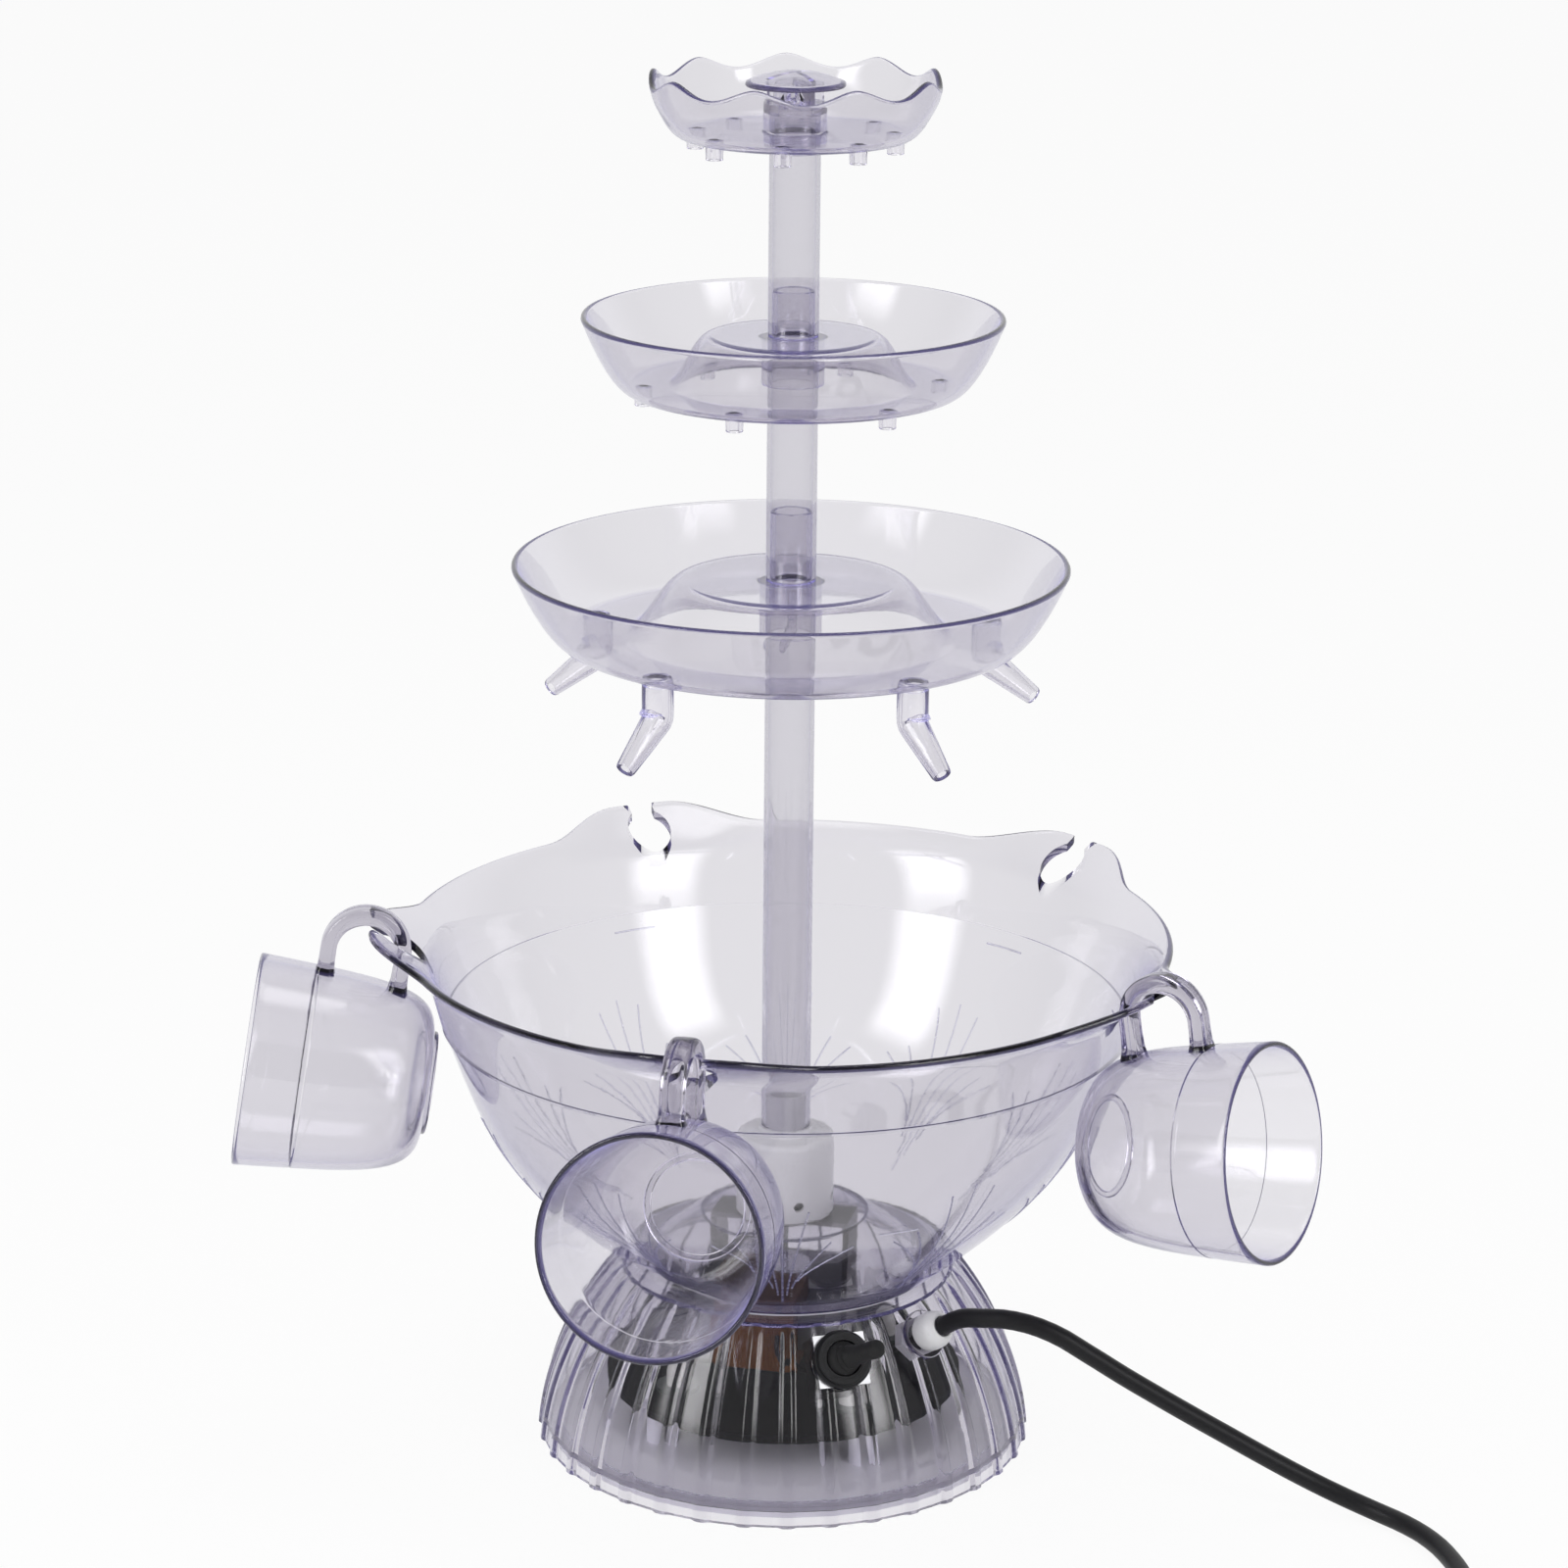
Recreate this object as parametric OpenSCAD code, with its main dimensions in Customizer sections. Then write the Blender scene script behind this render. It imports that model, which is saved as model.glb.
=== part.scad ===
// Drinks fountain: a lit pump base, a punch bowl with cup hooks, a column with three trays, and hanging cups.
// Frame: +Z up, origin on the table under the column, the front hook towards -Y.
// Turn angles run from -Y towards +X.

/* [Base] */
// Radius of the base shell at its lower edge
base_r = 91; // [86:0.5:98]
// Radius of the base shell at its top
base_top_r = 63; // [61:0.5:66]
// Height of the base shell
base_h = 67; // [63:0.5:74]
// Wall of the base shell
base_wall = 2.4; // [1.8:0.1:3]
// Number of ribs that flute the base shell
flute_count = 36; // [24:1:40]
// Height of those ribs
flute_depth = 1.2; // [0.6:0.1:1.6]
// Height of the black chassis plate above the table
chassis_z = 21; // [18:0.5:25]
// Radius of the chassis plate
chassis_r = 66; // [62:0.5:70]

/* [Bowl] */
// Height of the bowl from its seat to the rim
bowl_h = 124; // [114:0.5:134]
// Radius of the bowl at the rim
bowl_rim_r = 141; // [136:0.5:148]
// Radius of the bowl at its ring line
bowl_line_r = 126.5; // [122:0.5:130]
// Height of the flared band above the ring line
bowl_band_h = 28.5; // [24:0.5:34]
// Wall of the bowl
bowl_wall = 2.6; // [2:0.1:3.2]
// Height of the hump in the floor of the bowl
hump_h = 15; // [12:0.5:18]
// Number of cup hooks around the rim
hook_count = 5; // [4:1:6]
// How far a hook reaches past the rim
hook_reach = 12; // [10:0.5:15]
// Width of a hook where it leaves the rim
hook_w = 84; // [70:1:96]
// Radius of the round notch in a hook
notch_r = 8.5; // [8:0.1:10]

/* [Pump] */
// Radius of the pump cover
pump_r = 18; // [17:0.5:21]
// Height of the pump cover
pump_h = 32; // [26:0.5:38]
// Wall of the pump cover
pump_wall = 1.8; // [1.4:0.1:2.4]
// Radius of the motor shaft
shaft_r = 1.5; // [1.2:0.1:2]
// Number of impeller blades
blade_count = 6; // [4:1:8]

/* [Column] */
// Outside diameter of the column tubes
tube_od = 18; // [17:0.2:20]
// Wall of the column tubes
tube_wall = 1.4; // [1:0.1:1.8]
// Length of the lower tube
lower_tube_len = 205; // [180:1:230]
// Length of the middle tube
middle_tube_len = 86; // [76:1:100]
// Length of the upper tube
upper_tube_len = 78; // [68:1:90]
// Slide fit between tubes and sockets, per side
tube_fit = 0.1; // [0.05:0.01:0.2]

/* [Trays] */
// Wall of the trays
tray_wall = 2.2; // [1.8:0.1:2.6]
// Rim radius of the lower tray
lower_tray_r = 100; // [94:0.5:108]
// Depth of the lower tray's trough below its centre
lower_tray_depth = 20.3; // [18:0.1:24]
// Rim radius of the middle tray
middle_tray_r = 75; // [70:0.5:82]
// Depth of the middle tray's trough below its centre
middle_tray_depth = 17.5; // [15:0.1:21]
// Rim radius of the top tray
top_tray_r = 51; // [48:0.5:56]
// Depth of the top tray
top_tray_depth = 22.8; // [20:0.1:26]
// Number of waves in the top tray's rim
wave_count = 9; // [7:1:11]
// Height of those waves
wave_h = 4.6; // [2:0.1:5.4]
// Number of drip nozzles under the middle tray
middle_nozzles = 6; // [4:1:8]
// Number of drip nozzles under the top tray
top_nozzles = 8; // [6:1:10]

/* [Cups] */
// Radius of a cup at the mouth
cup_r = 39; // [36:0.5:42]
// Height of a cup
cup_h = 68; // [60:0.5:76]
// Wall of a cup
cup_wall = 2; // [1.6:0.1:2.4]
// Width of the handle strap
handle_w = 8.6; // [7.6:0.1:10]
// Thickness of the handle strap
handle_t = 6; // [5:0.1:7]
// How far a hanging cup tilts its mouth up, in degrees
cup_tilt = 9.5; // [5:0.5:14]

/* [Cord] */
// Diameter of the mains cord
cord_d = 7; // [6:0.1:7.2]
// Radius of the coil's outer turn
coil_r = 48; // [46:0.5:52]
// Turns in the coil
coil_turns = 5.25; // [3.25:1:5.25]
// Distance between neighbouring turns
coil_pitch = 7.6; // [7.6:0.1:8]

/* [Hidden] */

// Colours
clear_tone = [0.82, 0.83, 0.93, 0.4];
white_tone = [0.93, 0.93, 0.95];
black_tone = [0.07, 0.07, 0.08];
steel_tone = [0.75, 0.76, 0.78];
copper_tone = [0.62, 0.36, 0.2];
rubber_tone = [0.16, 0.16, 0.17];
core_tone = [0.4, 0.4, 0.43];

// Roundness of turned shapes, and how far a cut runs past its face
round_fn = 96;
small_fn = 48;
overrun = 1;
curve_steps = 10;

// Curves: a cubic between two points, its handles given as shares of the span
function span(p, q, shares) = [
    p,
    [p.x + shares[0].x * (q.x - p.x), p.y + shares[0].y * (q.y - p.y)],
    [p.x + shares[1].x * (q.x - p.x), p.y + shares[1].y * (q.y - p.y)],
    q];
function on_curve(c, t) =
    pow(1 - t, 3) * c[0] + 3 * pow(1 - t, 2) * t * c[1] + 3 * (1 - t) * t * t * c[2] + pow(t, 3) * c[3];
function unit(v) = v / norm(v);
function heading(c, t) = unit(
    pow(1 - t, 2) * (c[1] - c[0]) + 2 * (1 - t) * t * (c[2] - c[1]) + t * t * (c[3] - c[2]));
function left_of(d) = [-d.y, d.x];
function traced(c, shift = 0) = [
    for (i = [0 : curve_steps])
        let (t = i / curve_steps)
        on_curve(c, t) + shift * left_of(heading(c, t))];
function reversed(list) = [for (i = [len(list) - 1 : -1 : 0]) list[i]];

// Base shell
base_shares = [[0.07, 0.36], [0.46, 0.72]];
base_curve = span([base_r, 0], [base_top_r, base_h], base_shares);
base_inside = span([base_r - base_wall, 0], [base_top_r - base_wall / 2, base_h - base_wall], base_shares);
seat_r = 50;
flute_share = 0.33;
flute_turn = 4.2;
cover_z = 2.6;
cover_t = 2.4;
cover_gap = 0.5;
ledge_w = 4;
ledge_t = 2;
ledge_z = cover_z + cover_t;
function inside_r(z) = lookup(z, [for (p = traced(base_inside)) [p.y, p.x]]);
cover_r = inside_r(ledge_z) - cover_gap;

// Fasteners inside the base
screw_r = 1.4;
screw_head_r = 2.8;
screw_head_h = 1.5;
screw_fit = 0.1;
post_count = 4;
post_r = 4.5;
post_ring_r = 54;
post_screw_depth = 9;
post_turn = 45;
chassis_t = 3;
chassis_top = chassis_z + chassis_t;

// Levels of the stack
gasket_t = 1.5;
gasket_w = 6;
bowl_z = base_h + gasket_t;
hump_z = bowl_z + hump_h;
pump_z = hump_z + bowl_wall;
collar_h = 2.5;
tube_z = pump_z + pump_h + collar_h;
lower_tray_z = tube_z + lower_tube_len;
middle_tube_z = lower_tray_z + tray_wall;
middle_tray_z = middle_tube_z + middle_tube_len;
upper_tube_z = middle_tray_z + tray_wall;
top_hub_z = upper_tube_z + upper_tube_len;

// Bowl
bowl_usual_rim_r = 141;
line_r = bowl_line_r * bowl_rim_r / bowl_usual_rim_r;
bowl_foot_inset = 5;
bowl_foot_r = base_top_r - bowl_foot_inset;
rim_z = bowl_z + bowl_h;
line_z = rim_z - bowl_band_h;
line_step = 0.5;
bowl_shares = [[0.785, 0.466], [0.785, 0.592]];
band_shares = [[0.21, 0.42], [0.41, 0.86]];
bowl_curve = span([bowl_foot_r, bowl_z], [line_r, line_z], bowl_shares);
band_curve = span([line_r + line_step, line_z], [bowl_rim_r, rim_z], band_shares);
hump_foot_r = 48;
hump_top_r = 30;
boss_h = 3;
boss_w = 2.4;
seal_r = 5;
pump_screw_ring_r = 10.5;
pump_screw_count = 3;

// Cup hooks
lip_heading = heading(band_curve, 1);
hook_tip_r = bowl_rim_r + hook_reach;
hook_tip = [hook_tip_r, rim_z + hook_reach * lip_heading.y / lip_heading.x];
hook_root = [bowl_rim_r, rim_z] - bowl_wall * lip_heading;
hook_top = hook_tip + bowl_wall * left_of(lip_heading);
hook_fit = 0.4;
hook_gap = handle_w + 2 * hook_fit;
hook_tip_w = 34;
hook_shares = [[0.4, 0.1], [0.75, 0.9]];
notch_in = 1;
notch_ring_r = bowl_rim_r - notch_in;

// Motor
motor_mid_z = (chassis_top + hump_z) / 2;
frame_t = 2;
frame_w = 18;
stator_w = 48;
stator_t = 16;
stator_back = 15;
limb_w = 10;
window_d = 11;
limb_y = stator_back + window_d;
rotor_r = 10;
rotor_gap = 0.4;
coil_wrap = 6.5;
bearing_r = 4;
bearing_h = 5;
shaft_fit = 0.05;
shaft_end = 4;
lower_bridge_drop = 9;
lower_bridge_z = motor_mid_z - stator_t / 2 - lower_bridge_drop;
impeller_r = 13;
impeller_lift = 5;
impeller_h = 11;
impeller_disc_t = 1.6;
blade_t = 1.4;
hub_r = 4;
shaft_top_z = pump_z + impeller_lift + impeller_h;

// Lamps
lamp_count = 4;
lamp_ring_r = 46;
lamp_turn = 0;
lamp_board_r = 8;
lamp_board_t = 1.6;
lamp_r = 4;
lamp_h = 9;

// Switch and cord gland on the shell
switch_turn = 29.5;
switch_share = 0.8;
gland_turn = 59;
gland_share = 0.83;
pad_h = 1.7;
switch_pad_r = 11;
plate_w = 19;
plate_h = 19;
plate_t = 1;
bushing_r = 7.6;
bushing_wall = 1;
nut_r = 10.6;
nut_h = 4;
boot_gap = 0.3;
boot_r = bushing_r - bushing_wall - boot_gap;
lever_z = pad_h + plate_t + nut_h / 2 + overrun;
lever_len = 17;
lever_root_r = 3.6;
lever_tip_r = 2.7;
lever_tilt = 26;
switch_depth = 22;
switch_w = 14;
switch_h = 21;
gland_pad_r = 9;
gland_r = 7;
gland_nose_r = 5;
gland_len = 10;
gland_shank_r = 5;
gland_nut_r = 8;
gland_nut_h = 4;
lead_r = 1.2;
lead_spread = 2;
lead_gap = 0.6;
trunnion_r = 1.5;
lead_sides = 8;

// Column and trays
socket_wall = 2;
spigot_r = tube_od / 2 - tube_wall - tube_fit;
spigot_wall = 1.6;
spigot_bore = spigot_r - spigot_wall;
pump_spigot_h = 15;
lower_spigot_h = 25;
middle_spigot_h = 16;
socket_r = tube_od / 2 + tube_fit;
hub_out_r = socket_r + socket_wall;
lower_rim_rise = 5.5;
middle_rim_rise = 6.5;
lower_plateau_r = 38;
lower_foot_r = 60;
lower_wall_r = 79;
middle_plateau_r = 29;
middle_foot_r = 44;
middle_wall_r = 57;
dome_shares = [[0.35, 0], [0.6, 1]];
wall_shares = [[0.35, 0], [0.72, 0.52]];
top_shares = [[0.55, 0.03], [0.85, 0.5]];
nozzle_r = 3.2;
nozzle_bore = 1.8;
nozzle_drop = 4.5;
middle_nozzle_ring = 53;
middle_nozzle_turn = -9;
top_nozzle_ring = 35;
top_nozzle_turn = 6;
top_floor_r = 38;
top_hub_h = 3.5;
top_floor_drop = 9;
top_floor_z = top_hub_z - top_floor_drop;
top_rim_z = top_floor_z + top_tray_depth;
wave_span_share = 0.76;
wave_turn = 17;

// Spouts
spout_count = 5;
spout_ring_r = 75;
spout_turn = 47.5;
spout_shank_r = 5;
spout_fit = 0.05;
spout_r = 6;
spout_drop = 13;
spout_len = 23;
spout_tip_r = 4.3;
spout_bore = 3;
spout_tip_bore = 2.4;
spout_tilt = 51;
spout_twists = [0, 0, 34, 0, 0];

// Top cap
cap_r = 17.5;
cap_dome_h = 3.9;
cap_edge_t = 1.6;
cap_lift = 5.5;
fin_t = 1.8;
fin_fit = 0.2;

// Cups
cup_foot_r = 19;
cup_foot_w = 2.4;
cup_foot_h = 1.5;
cup_shares = [[0.84, 0.01], [0.84, 0.31]];
cup_curve = span([cup_foot_r, cup_foot_h], [cup_r, cup_h], cup_shares);
cup_inside = span([cup_foot_r - cup_wall, cup_foot_h + cup_wall], [cup_r - cup_wall, cup_h], cup_shares);
arch_r = 13.5;
handle_mid_z = 31;
handle_leg = 10.4;
handle_edge = 1.2;
pad_w = 12;
pad_angle = 60;
hang_gap = 0.35;
arch_inside = arch_r - handle_t / 2;
arch_y = cup_r - cup_wall + handle_leg;
arch_rho = notch_ring_r + arch_r;
hook_miss = hook_top.x - arch_rho;
arch_z = hook_top.y + hang_gap - sqrt(arch_inside * arch_inside - hook_miss * hook_miss);
cup_rho = arch_rho - handle_mid_z * cos(cup_tilt) + arch_y * sin(cup_tilt);
cup_z = arch_z - handle_mid_z * sin(cup_tilt) - arch_y * cos(cup_tilt);

// Cord, coil and plug
tie_t = 1;
tie_w = 8;
tie_gap = 0.4;
tie_turn = 190;
cord_sides = 8;
coil_sides = 6;
coil_rings = 24;
coil_x = 234;
coil_y = -161;
coil_start = 13;
coil_z = cord_d / 2 + tie_t + tie_gap;
cord_end_run = cord_d;
cord_exit_run = 10;
cord_start_run = 3;
cord_samples = 3;
lead_samples = 4;
relief_len = 22;
relief_r = 6;
plug_len = 36;
plug_w = 35;
plug_t = 14;
plug_edge = 4;
plug_x = 200;
plug_y = -217;
pin_r = 2;
pin_len = 19;
pin_spacing = 18.6;

// A place on the base shell: its point in the radial plane, its outward heading and its slope
function shell_point(share) = on_curve(base_curve, share);
function shell_normal(share) = -left_of(heading(base_curve, share));
function shell_slope(share) = asin(shell_normal(share).y);
function spun(p, turn) = [p.x * sin(turn), -p.x * cos(turn), p.y];
module on_shell(turn, share) {
    rotate([0, 0, turn])
        translate([0, -shell_point(share).x, shell_point(share).y])
            rotate([90 - shell_slope(share), 0, 0])
                children();
}
module ring_of(count, r, turn = 0) {
    for (i = [0 : count - 1])
        rotate([0, 0, turn + i * 360 / count])
            translate([0, -r, 0])
                children();
}

// A round tube swept through a path of points
function smooth(points, samples) = [
    for (i = [0 : len(points) - 2])
        let (a = points[max(i - 1, 0)], b = points[i], c = points[i + 1])
        let (d = points[min(i + 2, len(points) - 1)])
        for (k = [0 : samples - (i == len(points) - 2 ? 0 : 1)])
            let (t = k / samples)
            0.5 * (2 * b + (c - a) * t + (2 * a - 5 * b + 4 * c - d) * t * t
                + (3 * b - a - 3 * c + d) * t * t * t)];
function path_heading(path, i) = unit(path[min(i + 1, len(path) - 1)] - path[max(i - 1, 0)]);
function ring_points(p, d, r, sides) =
    let (side = unit(cross(d, [0, 0, 1])), up = cross(side, d))
    [for (k = [0 : sides - 1]) p + r * (cos(360 * k / sides) * side + sin(360 * k / sides) * up)];
module swept_tube(path, r, sides) {
    rings = len(path);
    points = [for (i = [0 : rings - 1]) each ring_points(path[i], path_heading(path, i), r, sides)];
    start_cap = [for (k = [1 : sides - 2]) [0, k, k + 1]];
    last = (rings - 1) * sides;
    end_cap = [for (k = [1 : sides - 2]) [last, last + k + 1, last + k]];
    walls = [for (i = [0 : rings - 2], k = [0 : sides - 1], half = [0, 1])
        let (a = i * sides + k, b = i * sides + (k + 1) % sides)
        half == 0 ? [a, a + sides, b] : [b, a + sides, b + sides]];
    polyhedron(points = points, faces = concat(start_cap, walls, end_cap));
}
function path_length(path) =
    [for (i = [0 : len(path) - 2]) norm(path[i + 1] - path[i])] * [for (i = [0 : len(path) - 2]) 1];
function on_table(path) = [for (p = path) [p.x, p.y, max(p.z, cord_d / 2)]];

// The route of the cord from its gland to the coil
gland_face = shell_point(gland_share) + (pad_h + gland_len) * shell_normal(gland_share);
gland_start = gland_face + cord_start_run * shell_normal(gland_share);
gland_exit = gland_face + cord_exit_run * shell_normal(gland_share);
cord_route = concat([spun(gland_start, gland_turn), spun(gland_exit, gland_turn)], [
    [84.8, -49.9, 72], [96.9, -52.6, 73.5], [110.4, -52.3, 70.2], [123.1, -50, 62.6], [135.5, -46.6, 54],
    [148, -42.8, 45.6], [160.5, -39, 37.4], [173, -35.2, 29.4], [185.5, -32, 21.7], [198.5, -29.5, 14.4],
    [212.5, -28.8, 8.2], [226.5, -31.5, 4.4], [238.5, -38.3, 3.5], [248.5, -48.5, 3.5], [256.5, -61.5, 3.5],
    [262.6, -76, 3.5], [267, -91.5, 3.5], [270.8, -107, 3.8], [273.6, -119, 4.2]]);

// The coil: it spirals in, climbs a layer where it turns back, and spirals out
coil_half = coil_turns / 2;
function coil_r_at(turn) = coil_r - coil_pitch * min(turn, coil_turns - turn);
function climb(turn) = coil_pitch * min(1, max(0, 2 * (turn - coil_half) + 0.5));
function coil_at(turn) = [
    coil_x + coil_r_at(turn) * cos(coil_start - 360 * turn),
    coil_y + coil_r_at(turn) * sin(coil_start - 360 * turn),
    coil_z + climb(turn)];
coil_steps = round(coil_turns * coil_rings);
coil_loops = [for (i = [0 : coil_steps]) coil_at(coil_turns * i / coil_steps)];
coil_in = [sin(coil_start), -cos(coil_start), 0];
coil_end_turn = coil_start - 360 * coil_turns;
coil_out = [sin(coil_end_turn), -cos(coil_end_turn), 0];
coil_path = concat([coil_loops[0] - cord_end_run * coil_in], coil_loops,
    [coil_loops[coil_steps] + cord_end_run * coil_out]);
cord_free = concat(cord_route, [coil_path[0] - 2 * cord_end_run * coil_in]);
cord_path = concat([spun(gland_face, gland_turn)], on_table(smooth(cord_free, cord_samples)),
    [coil_path[0] - cord_end_run * coil_in, coil_path[0]]);
plug_entry = [plug_x, plug_y, plug_t / 2];
lead_end = coil_path[len(coil_path) - 1];
lead_start = lead_end + cord_start_run * coil_out;
lead_stop = plug_entry + cord_start_run * [1, 0, 0];
lead_curve = [lead_start, lead_start + 2 * cord_end_run * coil_out, lead_stop + 2 * cord_end_run * [1, 0, 0],
    lead_stop];
lead_path = concat([lead_end], [for (i = [0 : 2 * lead_samples]) on_curve(lead_curve, i / (2 * lead_samples))],
    [plug_entry]);
skip_rings = coil_rings / 2;
coil_gap = min([for (i = [0 : coil_steps - skip_rings]) min([for (k = [i + skip_rings : coil_steps])
    norm(coil_loops[i] - coil_loops[k])])]) - cord_d;
cord_length = path_length(cord_path) + path_length(coil_path) + path_length(lead_path);
echo(coil_gap = coil_gap, cord_length = cord_length);

// Base shell: a fluted clear dome with a seat for the bowl and a ledge for the bottom cover
module base_rib() {
    sector = flute_share * 360 / flute_count;
    rotate([0, 0, -sector / 2])
        rotate_extrude(angle = sector, $fn = round_fn)
            polygon(concat([[base_r + flute_depth, -overrun]], traced(base_curve, -flute_depth),
                reversed(traced(base_curve, base_wall / 2)), [[base_r - base_wall / 2, -overrun]]));
}
module base_ribs() {
    intersection() {
        for (i = [0 : flute_count - 1])
            rotate([0, 0, flute_turn + i * 360 / flute_count])
                base_rib();
        cylinder(h = base_h - base_wall / 2, r = base_r + base_wall, $fn = round_fn);
    }
}
module base_wall_ring() {
    rotate_extrude($fn = round_fn)
        polygon(concat(traced(base_curve), [[seat_r, base_h], [seat_r, base_h - base_wall]],
            reversed(traced(base_inside))));
}
module base_ledge() {
    ledge_r = inside_r(ledge_z + ledge_t) + base_wall / 2;
    translate([0, 0, ledge_z])
        difference() {
            cylinder(h = ledge_t, r = ledge_r, $fn = round_fn);
            translate([0, 0, -overrun])
                cylinder(h = ledge_t + 2 * overrun, r = cover_r - ledge_w, $fn = round_fn);
        }
}
module shell_pad(r) {
    translate([0, 0, -base_wall])
        cylinder(h = base_wall + pad_h, r = r, $fn = small_fn);
}
module shell_bore(r) {
    translate([0, 0, -switch_depth])
        cylinder(h = 2 * switch_depth, r = r, $fn = small_fn);
}
module base_shell() {
    color(clear_tone)
        difference() {
            union() {
                base_wall_ring();
                base_ribs();
                base_ledge();
                on_shell(switch_turn, switch_share) shell_pad(switch_pad_r);
                on_shell(gland_turn, gland_share) shell_pad(gland_pad_r);
            }
            on_shell(switch_turn, switch_share) shell_bore(bushing_r + screw_fit);
            on_shell(gland_turn, gland_share) shell_bore(gland_shank_r + screw_fit);
        }
}

// Bottom cover: a flat disc under the ledge, screwed to the chassis posts
module bottom_cover() {
    color(white_tone)
        translate([0, 0, cover_z])
            difference() {
                cylinder(h = cover_t, r = cover_r, $fn = round_fn);
                ring_of(post_count, post_ring_r, post_turn)
                    translate([0, 0, -overrun])
                        cylinder(h = cover_t + 2 * overrun, r = screw_r + screw_fit, $fn = small_fn);
            }
}
module headed_screw(length) {
    cylinder(h = length, r = screw_r, $fn = small_fn);
    translate([0, 0, -screw_head_h])
        cylinder(h = screw_head_h, r = screw_head_r, $fn = small_fn);
}
module cover_screws() {
    color(steel_tone)
        translate([0, 0, cover_z])
            ring_of(post_count, post_ring_r, post_turn)
                headed_screw(cover_t + post_screw_depth);
}

// Chassis plate: a black disc on posts, which carries the motor and the lamps
module chassis_plate() {
    foot_x = stator_w / 2 + frame_t + frame_w / 4;
    color(black_tone)
        difference() {
            union() {
                translate([0, 0, chassis_z])
                    cylinder(h = chassis_t, r = chassis_r, $fn = round_fn);
                translate([0, 0, ledge_z])
                    ring_of(post_count, post_ring_r, post_turn)
                        cylinder(h = chassis_z - ledge_z + chassis_t / 2, r = post_r, $fn = small_fn);
            }
            translate([0, 0, ledge_z - overrun])
                ring_of(post_count, post_ring_r, post_turn)
                    cylinder(h = post_screw_depth + 2 * overrun, r = screw_r + screw_fit, $fn = small_fn);
            for (side = [-1, 1])
                translate([side * foot_x, 0, chassis_z - overrun])
                    cylinder(h = chassis_t + 2 * overrun, r = screw_r + screw_fit, $fn = small_fn);
        }
}

// Motor frame: a bent steel strap from the chassis up to the hump of the bowl, with a lower bearing bridge
module motor_frame() {
    half = stator_w / 2;
    foot_x = half + frame_t + frame_w / 4;
    color(steel_tone)
        difference() {
            union() {
                for (side = [-1, 1]) {
                    translate([side * (half + frame_t / 2), 0, (chassis_top + hump_z) / 2])
                        cube([frame_t, frame_w, hump_z - chassis_top], center = true);
                    translate([side * foot_x, 0, chassis_top + frame_t / 2])
                        cube([frame_w / 2 + overrun, frame_w, frame_t], center = true);
                }
                translate([0, 0, hump_z - frame_t / 2])
                    cube([stator_w + frame_t, frame_w, frame_t], center = true);
                translate([0, 0, hump_z - frame_t])
                    cylinder(h = frame_t, r = pump_screw_ring_r + screw_head_r, $fn = small_fn);
                translate([0, 0, lower_bridge_z])
                    cube([stator_w + frame_t, frame_w, frame_t], center = true);
            }
            translate([0, 0, lower_bridge_z - bearing_h])
                cylinder(h = hump_z, r = bearing_r + shaft_fit, $fn = small_fn);
            translate([0, 0, hump_z - 2 * frame_t])
                ring_of(pump_screw_count, pump_screw_ring_r)
                    cylinder(h = 3 * frame_t, r = screw_r + screw_fit, $fn = small_fn);
            for (side = [-1, 1])
                translate([side * foot_x, 0, chassis_top - overrun])
                    cylinder(h = frame_t + 2 * overrun, r = screw_r + screw_fit, $fn = small_fn);
        }
}
module frame_screws() {
    foot_x = stator_w / 2 + frame_t + frame_w / 4;
    color(steel_tone)
        for (side = [-1, 1])
            translate([side * foot_x, 0, chassis_top + frame_t])
                rotate([180, 0, 0])
                    headed_screw(frame_t + chassis_t);
}

// Shaded-pole motor: a laminated core with one wound limb at the front
module motor_stator() {
    half = stator_w / 2;
    color(core_tone)
        translate([0, 0, motor_mid_z - stator_t / 2])
            difference() {
                translate([-half, -limb_y - limb_w, 0])
                    cube([stator_w, limb_y + limb_w + stator_back, stator_t]);
                translate([-half + limb_w, -limb_y, -overrun])
                    cube([stator_w - 2 * limb_w, window_d, stator_t + 2 * overrun]);
                translate([0, 0, -overrun])
                    cylinder(h = stator_t + 2 * overrun, r = rotor_r + rotor_gap, $fn = small_fn);
            }
}
module motor_coil() {
    coil_w = stator_w - 2 * limb_w - 2 * rotor_gap;
    color(copper_tone)
        translate([0, -limb_y - limb_w / 2, motor_mid_z])
            difference() {
                cube([coil_w, limb_w + 2 * coil_wrap, stator_t + 2 * coil_wrap], center = true);
                cube([stator_w, limb_w + 2 * shaft_fit, stator_t + 2 * shaft_fit], center = true);
            }
}
module bearing() {
    difference() {
        cylinder(h = bearing_h, r = bearing_r, $fn = small_fn);
        translate([0, 0, -overrun])
            cylinder(h = bearing_h + 2 * overrun, r = shaft_r + shaft_fit, $fn = small_fn);
    }
}
module motor_bearings() {
    color(copper_tone) {
        translate([0, 0, hump_z - bearing_h])
            bearing();
        translate([0, 0, lower_bridge_z - bearing_h / 2])
            bearing();
    }
}
module motor_rotor() {
    low_z = lower_bridge_z - bearing_h / 2 - shaft_end;
    color(steel_tone) {
        translate([0, 0, low_z])
            cylinder(h = shaft_top_z - low_z, r = shaft_r, $fn = small_fn);
        translate([0, 0, motor_mid_z - stator_t / 2 - overrun])
            cylinder(h = stator_t + 2 * overrun, r = rotor_r, $fn = small_fn);
    }
}

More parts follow.
